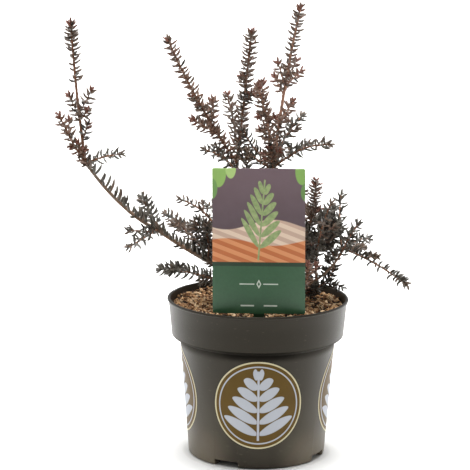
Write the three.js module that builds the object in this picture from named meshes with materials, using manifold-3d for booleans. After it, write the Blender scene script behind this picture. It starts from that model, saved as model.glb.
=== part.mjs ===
// A young podocarpus in its round nursery pot, with bark mulch and a plant label.
// Millimetres, +Z up. The origin is the middle of the pot's flat underside.
// The label faces -Y, and +X is to the right of someone who reads it.

import * as THREE from "three";
import { mergeVertices } from "three/addons/utils/BufferGeometryUtils.js";
import Module from "manifold-3d";

const wasm = await Module();
wasm.setup();
const { Manifold } = wasm;

// Clearance that neighbouring pieces keep.
const GAP = 0.3;

// Pot: an upright foot, a tapering body and a wide band under a thin lip.
const POT_HEIGHT = 166;
const LIP_RADIUS = 95;
const LIP_HEIGHT = 2.6;
const BAND_TOP_RADIUS = 93.7;
const BAND_FOOT_RADIUS = 90.3;
const BAND_FOOT = 128;
const STEP_FOOT = 122.5;
const BODY_TOP_RADIUS = 81.4;
const BODY_FOOT_RADIUS = 72;
const FOOT_RADIUS = 69.8;
const FOOT_ROUND = 3.5;
const FOOT_RING_INNER_RADIUS = 59;
const PAD_RADIUS = 24;
const RECESS = 7;
const FLOOR = 9.2;
const WALL = 1.9;
const POT_SIDES = 44;
const NOTCHES = 4;
const FIRST_NOTCH = -26;
const NOTCH_WIDTH = 27;
const NOTCH_HEIGHT = 6.5;
const NOTCH_DEPTH = 34;

// Bark mulch, heaped a little and flat where the trunk stands on it.
const SOIL_LEVEL = 157;
const SOIL_EDGE = 155.5;
const SOIL_RINGS = 4;
const SOIL_BUMP = 1.6;
const TRUNK_CLEARING = 16;

// Label: a card on a pointed stake, just inside the front of the rim.
const CARD_TOP_WIDTH = 93.2;
const CARD_FOOT_WIDTH = 93.8;
const CARD_HEIGHT = 149;
const CARD_FOOT = 166;
const CARD_THICKNESS = 0.8;
const CARD_CENTRE = 1.2;
const CARD_LEAN = -0.7;
const CARD_CORNER = 1.5;
const LABEL_Y = -76;
const STAKE_WIDTH = 11;
const STAKE_LENGTH = 44;
const STAKE_POINT = 9;

// Trunk: short, flared at its foot, and cut flat at the soil.
const TRUNK_FOOT = [-8, 5, SOIL_LEVEL - 2];
const TRUNK_TIP = [-11, 6, 192];
const TRUNK_RADIUS = 5.4;
const TRUNK_TIP_RADIUS = 4.2;
const TRUNK_FLARE = 3.8;
const TRUNK_FLARE_HEIGHT = 0.14;
const TRUNK_SIDES = 12;
const TRUNK_STEPS = 8;

// Boughs. Each leaves the limb `on` at the fraction `at` of its length and runs to its tip in a
// curve whose middle stands `bow` off the straight line. `radii` are those of its base and tip.
const BOUGHS = [
  { name: "left_bough", on: "trunk", at: 0.75, tip: [-108, 22, 233], bow: [0, 0, -3.5], radii: [2.7, 2] },
  { name: "left_arm", on: "left_bough", at: 1, tip: [-183, 33, 301], bow: [0, 0, -8.5], radii: [2.2, 1.7] },
  { name: "left_leader", on: "trunk", at: 1, tip: [-22, 16, 318], bow: [-6, 0, 0], radii: [3, 1.9] },
  { name: "right_leader", on: "trunk", at: 0.85, tip: [15, 4, 308], bow: [9, 3, -3], radii: [3, 1.9] },
  { name: "right_bough", on: "trunk", at: 0.55, tip: [89, -8, 220], bow: [9, 0, -19], radii: [1.9, 1.2] },
  { name: "right_riser", on: "trunk", at: 0.9, tip: [54, 28, 236], bow: [6, 4, -6], radii: [2.4, 1.7] },
  { name: "back_bough", on: "trunk", at: 0.8, tip: [6, 66, 226], bow: [2, 4, -9], radii: [2.6, 1.8] },
  { name: "back_left_bough", on: "left_bough", at: 0.22, tip: [-47, 46, 233], bow: [-4, 3, -3],
    radii: [2.1, 1.5] },
  { name: "front_bough", on: "trunk", at: 0.7, tip: [0, -34, 212], bow: [0, -5, -8], radii: [2.2, 1.6] },
];
const BOUGH_SIDES = 6;
const BOUGH_STEP = 22;

// Foliage. Each mass has one stem that leaves a bough, side twigs as [along the stem, tip],
// and a number of spurs that a seeded rule spreads along the stem.
const MASSES = [
  { name: "left_tall", on: "left_arm", at: 1, tip: [-200, 52, 453], bow: [-1.6, 1, 0],
    twigs: [[0.35, [-174, 38, 383]], [0.31, [-204, 56, 375]], [0.3, [-177, 28, 362]],
      [0.16, [-179, 34, 349]]], bare: 0.55 },
  { name: "left_short", on: "left_arm", at: 0.97, tip: [-211, 10, 360], bow: [-1, 0, -2], spurs: 1 },
  { name: "left_side", on: "left_arm", at: 1, tip: [-139, 6, 317], bow: [0, 2, 1] },
  { name: "left_fringe", on: "left_arm", at: 0.04, tip: [-180, 31, 302], bow: [1, 0, -10], fringe: true },
  { name: "left_stub", on: "left_bough", at: 0.97, tip: [-127, 66, 264], bow: [0, 2, 0] },
  { name: "left_low", on: "left_bough", at: 0.99, tip: [-136, -36, 223], bow: [0, 0, 0],
    twigs: [[0.1, [-141, -4, 236]]] },
  { name: "left_upper", on: "left_bough", at: 0.35, tip: [-104, 72, 244], bow: [0, -5, 6], spurs: 3 },
  { name: "left_mid", on: "back_left_bough", at: 1, tip: [-91, 70, 260], bow: [3, 0, 4], spurs: 1 },
  { name: "left_heart", on: "left_bough", at: 0.42, tip: [-57, 4, 251], bow: [2, -2, 0], spurs: 5 },
  { name: "left_ground", on: "trunk", at: 0.3, tip: [-105, -44, 206], bow: [0, 0, 6], spurs: 2, bare: 0.3 },
  { name: "left_back", on: "back_left_bough", at: 0.85, tip: [-42, 112, 262], bow: [0, 4, 6], spurs: 3 },
  { name: "far_left", on: "left_leader", at: 0.9, tip: [-96, -42, 445], bow: [-5, 0, 1],
    twigs: [[0.34, [-49, 22, 376]], [0.25, [-72, -28, 359]], [0.44, [-74, -2, 382]]] },
  { name: "upper_short", on: "left_leader", at: 0.96, tip: [-36, 72, 375], bow: [2, 0, -2] },
  { name: "centre", on: "left_leader", at: 1, tip: [-9, 62, 444], bow: [0, -2, 0],
    twigs: [[0.42, [-3, 22, 382]], [0.55, [-21, 50, 397]]] },
  { name: "upper_low", on: "left_leader", at: 0.84, tip: [-60, -34, 329], bow: [0, 0, 4],
    twigs: [[0.4, [-46, 12, 322]]], spurs: 1 },
  { name: "middle", on: "right_leader", at: 0.98, tip: [-3, -60, 400], bow: [1.5, 0, 1], spurs: 4,
    spurLength: 14 },
  { name: "right_tall", on: "right_leader", at: 1, tip: [42, 36, 473], bow: [-2, -2, 0],
    twigs: [[0.48, [17, 0, 418]], [0.43, [13, 38, 399]], [0.53, [40, 44, 415]], [0.49, [45, -6, 408]],
      [0.24, [35, -26, 379]]], bare: 0.44 },
  { name: "right_short", on: "right_leader", at: 1, tip: [48, 62, 354], bow: [-2, 0, 4], spurs: 2,
    spurLength: 14 },
  { name: "right_reach", on: "right_leader", at: 0.96, tip: [75, -46, 337], bow: [0, 0, 7],
    twigs: [[0.45, [54, 4, 331]]], spurs: 1 },
  { name: "leader_left", on: "left_leader", at: 0.45, tip: [-40, -22, 288], bow: [-3, 0, -3], spurs: 2 },
  { name: "leader_right", on: "right_leader", at: 0.4, tip: [40, -26, 286], bow: [3, 0, -5], spurs: 2 },
  { name: "leader_back", on: "left_leader", at: 0.6, tip: [-12, 74, 300], bow: [0, 4, -6], spurs: 3 },
  { name: "upright", on: "right_riser", at: 1, tip: [61, 50, 288], bow: [1, 0, 0],
    twigs: [[0.16, [48, 62, 255]], [0.2, [68, 40, 256]]] },
  { name: "right_thin", on: "right_bough", at: 0.97, tip: [88, 70, 268], bow: [-2, 3, -2] },
  { name: "right_front", on: "right_bough", at: 0.62, tip: [75, -36, 279], bow: [-5, -3, 2], spurs: 3 },
  { name: "right_heart", on: "right_bough", at: 0.88, tip: [68, 4, 251], bow: [-4, 0, 0], spurs: 8,
    spurLength: 22 },
  { name: "right_back", on: "right_bough", at: 0.99, tip: [121, 52, 220], bow: [0, 0, 4],
    twigs: [[0.12, [114, 26, 215]]] },
  { name: "right_spray", on: "right_bough", at: 0.93, tip: [104, -44, 258], bow: [0, 0, 2],
    twigs: [[0.4, [96, -34, 247]]] },
  { name: "right_droop", on: "right_bough", at: 1, tip: [160, -28, 183], bow: [0, 0, 3.5],
    twigs: [[0.12, [114, 8, 219]], [0.3, [127, -30, 217]]] },
  { name: "right_foot", on: "trunk", at: 0.22, tip: [87, 28, 211], bow: [24, 12, -17], spurs: 4,
    bare: 0.42, spurLength: 14 },
  { name: "label_side", on: "front_bough", at: 0.4, tip: [54, -77, 219], bow: [17, 5, -20], spurs: 2,
    bare: 0.35 },
  { name: "back_tall", on: "back_bough", at: 1, tip: [2, 112, 282], bow: [0, 6, -4], spurs: 3 },
  { name: "back_right", on: "back_bough", at: 0.9, tip: [48, 102, 262], bow: [0, 4, 2], spurs: 3 },
  { name: "back_low", on: "back_bough", at: 0.7, tip: [16, 128, 206], bow: [0, 0, 8], spurs: 3 },
  { name: "back_side", on: "back_bough", at: 0.5, tip: [-36, 104, 204], bow: [0, 0, 6], spurs: 2 },
  { name: "front_left", on: "front_bough", at: 0.95, tip: [-32, -56, 262], bow: [0, -3, -3], spurs: 2 },
  { name: "front_right", on: "front_bough", at: 1, tip: [26, -56, 254], bow: [2, -3, 0], spurs: 2 },
  { name: "left_fork", on: "left_arm", at: 0.93, tip: [-193, 22, 330], bow: [0, 0, 0], spurs: 3,
    spurLength: 12 },
  { name: "left_crest", on: "left_bough", at: 0.3, tip: [-101, 26, 236], bow: [0, 0, 0.5], fringe: true },
  { name: "cross_high", on: "right_leader", at: 1, tip: [-21, 12, 346], bow: [-3, 0, -4] },
  { name: "cross_low", on: "right_leader", at: 0.95, tip: [-18, -6, 326], bow: [0, 0, -3] },
  { name: "leader_tuft", on: "left_leader", at: 0.95, tip: [-9, -14, 318], bow: [1, 0, -3], spurs: 1 },
  { name: "right_crown", on: "right_leader", at: 0.9, tip: [9, -18, 333], bow: [0, -2, 0], spurs: 3,
    spurLength: 12 },
  { name: "right_inner", on: "right_bough", at: 0.55, tip: [51, -6, 235], bow: [-3, -2, 0], spurs: 8,
    spurLength: 20 },
];
const STEM_RADII = [1.6, 0.9];
const TWIG_RADII = [0.85, 0.6];
const TWIG_SIDES = 3;
const TWIG_STEP = 26;

// Spurs: short twigs that leave the stem at SPUR_ANGLE, between the fractions of its length.
const SPUR_LENGTH = 20;
const SPUR_ANGLE = THREE.MathUtils.degToRad(50);
const SPUR_BOW = 0.06;
const SPUR_FROM = 0.25;
const SPUR_TO = 0.86;

// Leaves: thin blades on a spiral, closing towards the tip of each twig. On a level twig they
// turn upwards.
const LEAF_LENGTH = 14;
const LEAF_WIDTH = 4.8;
const LEAF_THICKNESS = 1.2;
const LEAF_ROOT = 0.4;
const LEAF_PITCH = 10.6;
const LEAF_TURN = THREE.MathUtils.degToRad(137.5);
const LEAF_OPEN = THREE.MathUtils.degToRad(64);
const LEAF_CLOSED = THREE.MathUtils.degToRad(22);
const CLOSING_LENGTH = 12;
const LEAF_LIFT = 0.6;
const FRINGE_SPREAD = 0.5;
const TIP_LEAF = 0.55;
// How far the last leaf reaches past the wood: the tips above are those of the foliage.
const TIP_REACH = 6;
const SMALLEST_FACET = 0.04;
const SHORT_EDGE = 0.03;
const SPIRAL_TRIES = 14;
const SPIRAL_STEP = THREE.MathUtils.degToRad(25);

const UP = new THREE.Vector3(0, 0, 1);
const ALONG_X = new THREE.Vector3(1, 0, 0);

const plastic = { color: 0x3d3833, roughness: 0.5, metalness: 0 };
const mulch = { color: 0x5e3c22, roughness: 0.95, metalness: 0 };
const card = { color: 0x3b5f48, roughness: 0.45, metalness: 0 };
const bark = { color: 0x4f3529, roughness: 0.85, metalness: 0 };
const leaf = { color: 0x35261f, roughness: 0.55, metalness: 0 };

// A closed geometry as a solid that can be joined and cut.
function solidOf(geometry) {
  const bare = geometry.clone();
  bare.deleteAttribute("normal");
  bare.deleteAttribute("uv");
  const merged = mergeVertices(bare, 1e-4);
  const vertProperties = new Float32Array(merged.attributes.position.array);
  const triVerts = new Uint32Array(merged.index.array);
  return new Manifold(new wasm.Mesh({ numProp: 3, vertProperties, triVerts }));
}

function meshOf(solid, name, finish) {
  const { vertProperties, triVerts } = solid.getMesh();
  const geometry = new THREE.BufferGeometry();
  geometry.setAttribute("position", new THREE.BufferAttribute(vertProperties, 3));
  geometry.setIndex(new THREE.BufferAttribute(triVerts, 1));
  geometry.computeVertexNormals();
  const mesh = new THREE.Mesh(geometry, new THREE.MeshStandardMaterial({ ...finish, flatShading: true }));
  mesh.name = name;
  return mesh;
}

// The largest body of a solid, with sealed hollows and loose scraps left out.
function mainBody(solid) {
  const bodies = solid.asOriginal().simplify(SMALLEST_FACET).decompose();
  return bodies.reduce((best, body) => (body.volume() > best.volume() ? body : best));
}

function shortestEdge(solid) {
  const { vertProperties, triVerts } = solid.getMesh();
  const corner = (i) => new THREE.Vector3().fromArray(vertProperties, 3 * triVerts[i]);
  let shortest = Infinity;
  for (let i = 0; i < triVerts.length; i += 1) {
    const next = i % 3 === 2 ? i - 2 : i + 1;
    shortest = Math.min(shortest, corner(i).distanceTo(corner(next)));
  }
  return shortest;
}

// A seeded row of numbers from 0 to 1.
function numbers(seed) {
  let state = seed;
  return () => {
    state = (state + 0x6d2b79f5) >>> 0;
    let mixed = Math.imul(state ^ (state >>> 15), state | 1);
    mixed ^= mixed + Math.imul(mixed ^ (mixed >>> 7), mixed | 61);
    return ((mixed ^ (mixed >>> 14)) >>> 0) / 4294967296;
  };
}

function curveFrom(start, tip, bow = [0, 0, 0], short = 0) {
  const end = new THREE.Vector3(...tip);
  end.lerp(start, short / end.distanceTo(start));
  const middle = start.clone().lerp(end, 0.5).addScaledVector(new THREE.Vector3(...bow), 2);
  return new THREE.QuadraticBezierCurve3(start, middle, end);
}

// A cylinder bent along a curve, with a radius for each fraction of its length. It is `more`
// thicker and longer than that all round.
function tubeAlong(curve, radiusAt, sides, steps, more) {
  const tube = new THREE.CylinderGeometry(1, 1, 1, sides, steps);
  const frames = curve.computeFrenetFrames(steps);
  const corners = tube.attributes.position;
  for (let i = 0; i < corners.count; i += 1) {
    const along = corners.getY(i) + 0.5;
    const step = Math.round(along * steps);
    const radius = radiusAt(along) + more;
    const point = curve.getPointAt(along);
    point.addScaledVector(frames.binormals[step], corners.getX(i) * radius);
    point.addScaledVector(frames.normals[step], corners.getZ(i) * radius);
    if (step === 0) point.addScaledVector(frames.tangents[step], -more);
    if (step === steps) point.addScaledVector(frames.tangents[step], more);
    corners.setXYZ(i, point.x, point.y, point.z);
  }
  return solidOf(tube);
}

// The two directions across a twig: level, and as far up as the twig allows.
function across(tangent) {
  const reference = Math.abs(tangent.z) > 0.97 ? ALONG_X : UP;
  const level = new THREE.Vector3().crossVectors(tangent, reference).normalize();
  const upward = new THREE.Vector3().crossVectors(level, tangent).normalize();
  return { level, upward };
}

// The direction that stands `angle` off a twig's tangent, at `turn` round it.
function directionOff(tangent, angle, turn) {
  const { level, upward } = across(tangent);
  const outward = level.multiplyScalar(Math.cos(turn)).addScaledVector(upward, Math.sin(turn));
  return tangent.clone().multiplyScalar(Math.cos(angle)).addScaledVector(outward, Math.sin(angle));
}

// ---- Pot, mulch and label ----------------------------------------------------------------

function potProfile() {
  const innerFoot = BODY_FOOT_RADIUS - WALL;
  return [
    [0, 0],
    [PAD_RADIUS, 0],
    [PAD_RADIUS + 1, RECESS],
    [FOOT_RING_INNER_RADIUS - 1, RECESS],
    [FOOT_RING_INNER_RADIUS, 0],
    [FOOT_RADIUS, 0],
    [FOOT_RADIUS + 1.4, 1],
    [BODY_FOOT_RADIUS, FOOT_ROUND],
    [BODY_TOP_RADIUS, STEP_FOOT],
    [BODY_TOP_RADIUS + 1.2, STEP_FOOT + 0.6],
    [BAND_FOOT_RADIUS - 0.6, BAND_FOOT - 0.8],
    [BAND_FOOT_RADIUS, BAND_FOOT],
    [BAND_TOP_RADIUS, POT_HEIGHT - LIP_HEIGHT],
    [LIP_RADIUS, POT_HEIGHT - LIP_HEIGHT + 0.8],
    [LIP_RADIUS, POT_HEIGHT - 0.8],
    [LIP_RADIUS - 0.8, POT_HEIGHT],
    [BAND_TOP_RADIUS - WALL + 0.4, POT_HEIGHT],
    [BAND_TOP_RADIUS - WALL, POT_HEIGHT - 1],
    [BAND_FOOT_RADIUS - WALL, BAND_FOOT + 0.6],
    [BODY_TOP_RADIUS - WALL, STEP_FOOT + 1],
    [innerFoot, FLOOR + 2],
    [innerFoot - 3, FLOOR],
    [0, FLOOR],
  ];
}

function lathe(profile) {
  const points = profile.map(([radius, height]) => new THREE.Vector2(radius, height));
  return new THREE.LatheGeometry(points, POT_SIDES).rotateX(Math.PI / 2);
}

function pot() {
  let body = solidOf(lathe(potProfile()));
  for (let i = 0; i < NOTCHES; i += 1) {
    const notch = new THREE.BoxGeometry(NOTCH_WIDTH, NOTCH_DEPTH, 2 * NOTCH_HEIGHT);
    notch.translate(0, -FOOT_RADIUS, 0);
    notch.rotateZ(THREE.MathUtils.degToRad(FIRST_NOTCH + (i * 360) / NOTCHES));
    body = body.subtract(solidOf(notch));
  }
  return body;
}

function mulchBump(x, y) {
  return SOIL_BUMP * Math.sin(x / 9 + 1.3) * Math.cos(y / 11 - 0.6);
}

function soil() {
  const innerFoot = BODY_FOOT_RADIUS - WALL - GAP;
  const edge = THREE.MathUtils.mapLinear(
    SOIL_EDGE,
    BAND_FOOT,
    POT_HEIGHT,
    BAND_FOOT_RADIUS - WALL - GAP,
    BAND_TOP_RADIUS - WALL - GAP,
  );
  const profile = [
    [0, FLOOR + GAP],
    [innerFoot - 3, FLOOR + GAP],
    [innerFoot, FLOOR + 2 + GAP],
    [BODY_TOP_RADIUS - WALL - GAP, STEP_FOOT + 1 + GAP],
    [BAND_FOOT_RADIUS - WALL - GAP, BAND_FOOT + 0.6 + GAP],
    [edge, SOIL_EDGE],
  ];
  for (let ring = 1; ring <= SOIL_RINGS; ring += 1) {
    const radius = THREE.MathUtils.lerp(edge, TRUNK_CLEARING, ring / SOIL_RINGS);
    profile.push([radius, THREE.MathUtils.lerp(SOIL_EDGE, SOIL_LEVEL, ring / SOIL_RINGS)]);
  }
  profile.push([0, SOIL_LEVEL]);
  const heap = lathe(profile);
  const corners = heap.attributes.position;
  for (let i = 0; i < corners.count; i += 1) {
    const [x, y, z] = [corners.getX(i), corners.getY(i), corners.getZ(i)];
    const reach = Math.hypot(x, y);
    if (z > SOIL_EDGE + 0.1 && reach > TRUNK_CLEARING + 1) {
      corners.setZ(i, z + mulchBump(x, y));
    }
  }
  const slot = new THREE.BoxGeometry(
    STAKE_WIDTH + 2 * GAP,
    CARD_THICKNESS + 2 * GAP,
    2 * (SOIL_LEVEL + SOIL_BUMP - CARD_FOOT + STAKE_LENGTH + GAP),
  );
  slot.translate(CARD_CENTRE, LABEL_Y, SOIL_LEVEL + SOIL_BUMP);
  return solidOf(heap).subtract(solidOf(slot));
}

function label() {
  const halfFoot = CARD_FOOT_WIDTH / 2;
  const halfTop = CARD_TOP_WIDTH / 2;
  const lean = CARD_HEIGHT * Math.sin(THREE.MathUtils.degToRad(CARD_LEAN));
  const halfStake = STAKE_WIDTH / 2;
  const outline = new THREE.Shape();
  outline.moveTo(0, -STAKE_LENGTH);
  outline.lineTo(halfStake, STAKE_POINT - STAKE_LENGTH);
  outline.lineTo(halfStake, 0);
  outline.lineTo(halfFoot - CARD_CORNER, 0);
  outline.lineTo(halfFoot, CARD_CORNER);
  outline.lineTo(lean + halfTop, CARD_HEIGHT - CARD_CORNER);
  outline.lineTo(lean + halfTop - CARD_CORNER, CARD_HEIGHT);
  outline.lineTo(lean - halfTop + CARD_CORNER, CARD_HEIGHT);
  outline.lineTo(lean - halfTop, CARD_HEIGHT - CARD_CORNER);
  outline.lineTo(-halfFoot, CARD_CORNER);
  outline.lineTo(CARD_CORNER - halfFoot, 0);
  outline.lineTo(-halfStake, 0);
  outline.lineTo(-halfStake, STAKE_POINT - STAKE_LENGTH);
  outline.closePath();
  const plate = new THREE.ExtrudeGeometry(outline, { depth: CARD_THICKNESS, bevelEnabled: false });
  plate.translate(0, 0, -CARD_THICKNESS / 2);
  plate.rotateX(Math.PI / 2);
  plate.translate(CARD_CENTRE, LABEL_Y, CARD_FOOT);
  return solidOf(plate);
}

// ---- Trunk and boughs --------------------------------------------------------------------

const limbs = new Map();

function trunk() {
  const curve = curveFrom(new THREE.Vector3(...TRUNK_FOOT), TRUNK_TIP);
  const radiusAt = (along) =>
    THREE.MathUtils.lerp(TRUNK_RADIUS, TRUNK_TIP_RADIUS, along) +
    TRUNK_FLARE * Math.exp(-along / TRUNK_FLARE_HEIGHT);
  const ground = new THREE.BoxGeometry(2 * LIP_RADIUS, 2 * LIP_RADIUS, 2 * (SOIL_LEVEL + GAP));
  const grow = (more) =>
    tubeAlong(curve, radiusAt, TRUNK_SIDES, TRUNK_STEPS, more).subtract(solidOf(ground));
  limbs.set("trunk", { curve, solid: grow(0), wide: grow(GAP) });
}

function bough({ name, on, at, tip, bow, radii }) {
  const curve = curveFrom(limbs.get(on).curve.getPointAt(at), tip, bow);
  const steps = Math.round(curve.getLength() / BOUGH_STEP);
  const radiusAt = (along) => THREE.MathUtils.lerp(...radii, along);
  const grow = (more) => tubeAlong(curve, radiusAt, BOUGH_SIDES, steps, more);
  let solid = grow(0);
  for (const limb of limbs.values()) solid = solid.subtract(limb.wide);
  limbs.set(name, { curve, solid: mainBody(solid), wide: grow(GAP) });
}

// ---- Foliage -----------------------------------------------------------------------------

function stepsOf(curve) {
  return Math.max(1, Math.round(curve.getLength() / TWIG_STEP));
}

// A point on the axis of a twig's solid, which is straight between its steps.
function axisPoint(curve, along) {
  const steps = stepsOf(curve);
  const step = Math.min(Math.floor(along * steps), steps - 1);
  return curve.getPointAt(step / steps).lerp(curve.getPointAt((step + 1) / steps), along * steps - step);
}

// The stem, side twigs and spurs of a mass, each as a curve with its radii.
function shootsOf(mass, seed) {
  const { on, at, tip, bow, twigs = [], spurs = 0, spurLength = SPUR_LENGTH, bare = 0 } = mass;
  const random = numbers(seed);
  const stem = curveFrom(limbs.get(on).curve.getPointAt(at), tip, bow, TIP_REACH);
  const shoots = [{ curve: stem, bare, radii: STEM_RADII }];
  for (const [along, end] of twigs) {
    const curve = curveFrom(axisPoint(stem, along), end, [0, 0, 0], TIP_REACH);
    shoots.push({ curve, bare: 0, radii: TWIG_RADII });
  }
  for (let i = 0; i < spurs; i += 1) {
    const along = THREE.MathUtils.lerp(Math.max(SPUR_FROM, bare), SPUR_TO, (i + random()) / spurs);
    const turn = i * LEAF_TURN + random();
    const length = spurLength * (0.7 + 0.6 * random());
    const root = axisPoint(stem, along);
    const heading = directionOff(stem.getTangentAt(along), SPUR_ANGLE, turn);
    const end = root.clone().addScaledVector(heading, length);
    const curve = curveFrom(root, end.toArray(), [0, 0, length * SPUR_BOW]);
    shoots.push({ curve, bare: 0, radii: TWIG_RADII });
  }
  return shoots;
}

function twigSolid({ curve, radii }, more) {
  const radiusAt = (along) => THREE.MathUtils.lerp(...radii, along);
  return tubeAlong(curve, radiusAt, TWIG_SIDES, stepsOf(curve), more);
}

// One leaf, its root sunk behind the twig's axis.
function leafSolid(root, heading, tangent, length) {
  const breadth = new THREE.Vector3().crossVectors(heading, tangent).normalize();
  const face = new THREE.Vector3().crossVectors(heading, breadth);
  const whole = length + LEAF_ROOT;
  const blade = new THREE.OctahedronGeometry(1);
  blade.scale(whole / 2, LEAF_WIDTH / 2, LEAF_THICKNESS / 2);
  blade.translate(length - whole / 2, 0, 0);
  blade.applyMatrix4(new THREE.Matrix4().makeBasis(heading, breadth, face).setPosition(root));
  return solidOf(blade);
}

// The leaves of one shoot, from its bare foot to the last one, which points along its tip.
// Their spiral starts at `first`.
function leavesOf({ curve, bare }, mass, first) {
  const leaves = [];
  const length = curve.getLength();
  const count = Math.max(2, Math.round((length * (1 - bare)) / LEAF_PITCH));
  for (let i = 1; i <= count; i += 1) {
    const along = THREE.MathUtils.lerp(bare, 1, i / count);
    const tangent = curve.getTangentAt(along);
    const closing = THREE.MathUtils.clamp(((1 - along) * length) / CLOSING_LENGTH, 0, 1);
    const angle = THREE.MathUtils.lerp(LEAF_CLOSED, LEAF_OPEN, closing);
    const turn = first + (mass.fringe ? Math.PI / 2 + FRINGE_SPREAD * (-1) ** i : i * LEAF_TURN);
    const heading = directionOff(tangent, angle, turn);
    heading.z += LEAF_LIFT * closing * (1 - Math.abs(tangent.z));
    heading.normalize();
    const size = LEAF_LENGTH * THREE.MathUtils.lerp(TIP_LEAF, 1, closing);
    leaves.push(leafSolid(axisPoint(curve, along), heading, tangent, size));
  }
  return leaves;
}

function isClear(solid, others) {
  return others.every((other) => solid.minGap(other, 2 * GAP) >= GAP);
}

function near(solid, others) {
  const { min, max } = solid.boundingBox();
  return others.filter((other) => {
    const box = other.boundingBox();
    return [0, 1, 2].every((k) => box.min[k] < max[k] + GAP && box.max[k] > min[k] - GAP);
  });
}

const fixed = { pot: pot(), soil: soil(), label: label() };
trunk();
BOUGHS.forEach(bough);
const limbSolids = [...limbs.values()].map((limb) => limb.solid);

// Every mass's twigs first, each cut clear of the limbs and of the twigs before it.
const masses = [];
const taken = [...limbs.values()].map((limb) => limb.wide);
MASSES.forEach((mass, index) => {
  const shoots = shootsOf(mass, 7 * index + 3).filter((shoot, order) => {
    const steady = order <= (mass.twigs ?? []).length;
    return steady || isClear(twigSolid(shoot, GAP), [fixed.pot, fixed.soil, fixed.label]);
  });
  let wood = Manifold.union(shoots.map((shoot) => twigSolid(shoot, 0)));
  for (const other of near(wood, taken)) wood = wood.subtract(other);
  taken.push(Manifold.union(shoots.map((shoot) => twigSolid(shoot, GAP))));
  masses.push({ mass, shoots, solid: mainBody(wood) });
});

// Then the leaves, each left out where it would touch another piece. Where fusing them leaves a
// very short edge, the spiral starts a little further round.
for (const entry of masses) {
  const others = [...Object.values(fixed), ...limbSolids];
  for (const other of masses) if (other !== entry) others.push(other.solid);
  const wood = entry.solid;
  let best = 0;
  for (let attempt = 0; attempt < SPIRAL_TRIES && best < SHORT_EDGE; attempt += 1) {
    const leaves = entry.shoots.flatMap((shoot) => leavesOf(shoot, entry.mass, attempt * SPIRAL_STEP));
    const clear = leaves.filter((blade) => isClear(blade, near(blade, others)));
    const fused = mainBody(Manifold.union([wood, ...clear]));
    const shortest = shortestEdge(fused);
    if (shortest > best) {
      best = shortest;
      entry.solid = fused;
    }
  }
}

const podocarpus = new THREE.Group();
podocarpus.add(meshOf(fixed.pot, "pot", plastic));
podocarpus.add(meshOf(fixed.soil, "soil", mulch));
podocarpus.add(meshOf(fixed.label, "label", card));
for (const [name, limb] of limbs) podocarpus.add(meshOf(limb.solid, name, bark));
for (const { mass, solid } of masses) podocarpus.add(meshOf(solid, "foliage_" + mass.name, leaf));

export default podocarpus;
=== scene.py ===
"""A young podocarpus in its nursery pot, with bark mulch and a plant label.

Metres, +Z up, origin at the middle of the pot's underside. The label faces -Y. The growth tables
and the turned outlines are in millimetres, as such things are measured, and go through MM.
"""

import bisect
import math
from contextlib import contextmanager
from itertools import accumulate

import bmesh
import bpy
import numpy as np
from bpy.props import FloatProperty, FloatVectorProperty, IntProperty, PointerProperty
from mathutils import Matrix, Vector


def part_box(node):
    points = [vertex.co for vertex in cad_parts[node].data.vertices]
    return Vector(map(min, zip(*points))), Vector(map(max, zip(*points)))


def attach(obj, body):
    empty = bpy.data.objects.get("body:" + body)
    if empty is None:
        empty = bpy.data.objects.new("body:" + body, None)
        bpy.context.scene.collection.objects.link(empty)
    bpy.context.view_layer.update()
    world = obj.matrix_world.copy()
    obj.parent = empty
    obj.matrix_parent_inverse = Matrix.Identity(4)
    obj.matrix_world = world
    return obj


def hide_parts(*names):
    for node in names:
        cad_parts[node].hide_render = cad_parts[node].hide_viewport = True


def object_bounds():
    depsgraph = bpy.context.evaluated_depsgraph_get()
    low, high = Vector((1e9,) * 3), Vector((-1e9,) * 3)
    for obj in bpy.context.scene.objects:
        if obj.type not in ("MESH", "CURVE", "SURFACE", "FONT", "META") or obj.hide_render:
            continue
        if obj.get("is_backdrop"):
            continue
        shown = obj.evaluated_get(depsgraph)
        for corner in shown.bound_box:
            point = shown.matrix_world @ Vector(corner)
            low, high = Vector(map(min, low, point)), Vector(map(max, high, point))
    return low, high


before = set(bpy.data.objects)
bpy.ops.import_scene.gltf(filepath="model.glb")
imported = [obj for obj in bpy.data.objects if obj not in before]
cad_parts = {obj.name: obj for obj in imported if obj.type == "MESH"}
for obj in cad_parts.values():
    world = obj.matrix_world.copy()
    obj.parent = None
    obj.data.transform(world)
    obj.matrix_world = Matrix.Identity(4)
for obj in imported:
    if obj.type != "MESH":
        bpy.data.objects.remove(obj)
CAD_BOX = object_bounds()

bl_info = {
    "name": "Potted podocarpus",
    "version": (1, 0, 0),
    "blender": (4, 5, 0),
    "location": "View3D > Sidebar > Podocarpus",
    "description": "Builds a young podocarpus shrub with its pot, bark mulch and plant label",
    "category": "Add Mesh",
}

MM = 0.001
BODY = "root"
POT_LOW, POT_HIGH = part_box("pot")
LABEL_LOW, LABEL_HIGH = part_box("label")
LABEL_Y = (LABEL_LOW.y + LABEL_HIGH.y) / 2
FOLIAGE_NODES = sorted(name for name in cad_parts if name.startswith("foliage_"))


def tint(red, green, blue):
    """A colour given as it looks on a screen, 0 to 255, as the linear one that shaders take."""
    shares = [value / 255 for value in (red, green, blue)]
    return tuple(s / 12.92 if s <= 0.04045 else ((s + 0.055) / 1.055) ** 2.4 for s in shares)


def mix(low, high, share):
    return low + (high - low) * share


def clamp(value, low=0.0, high=1.0):
    return min(max(value, low), high)


# ---- Sizes and colours that a user would change --------------------------------------------


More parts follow.
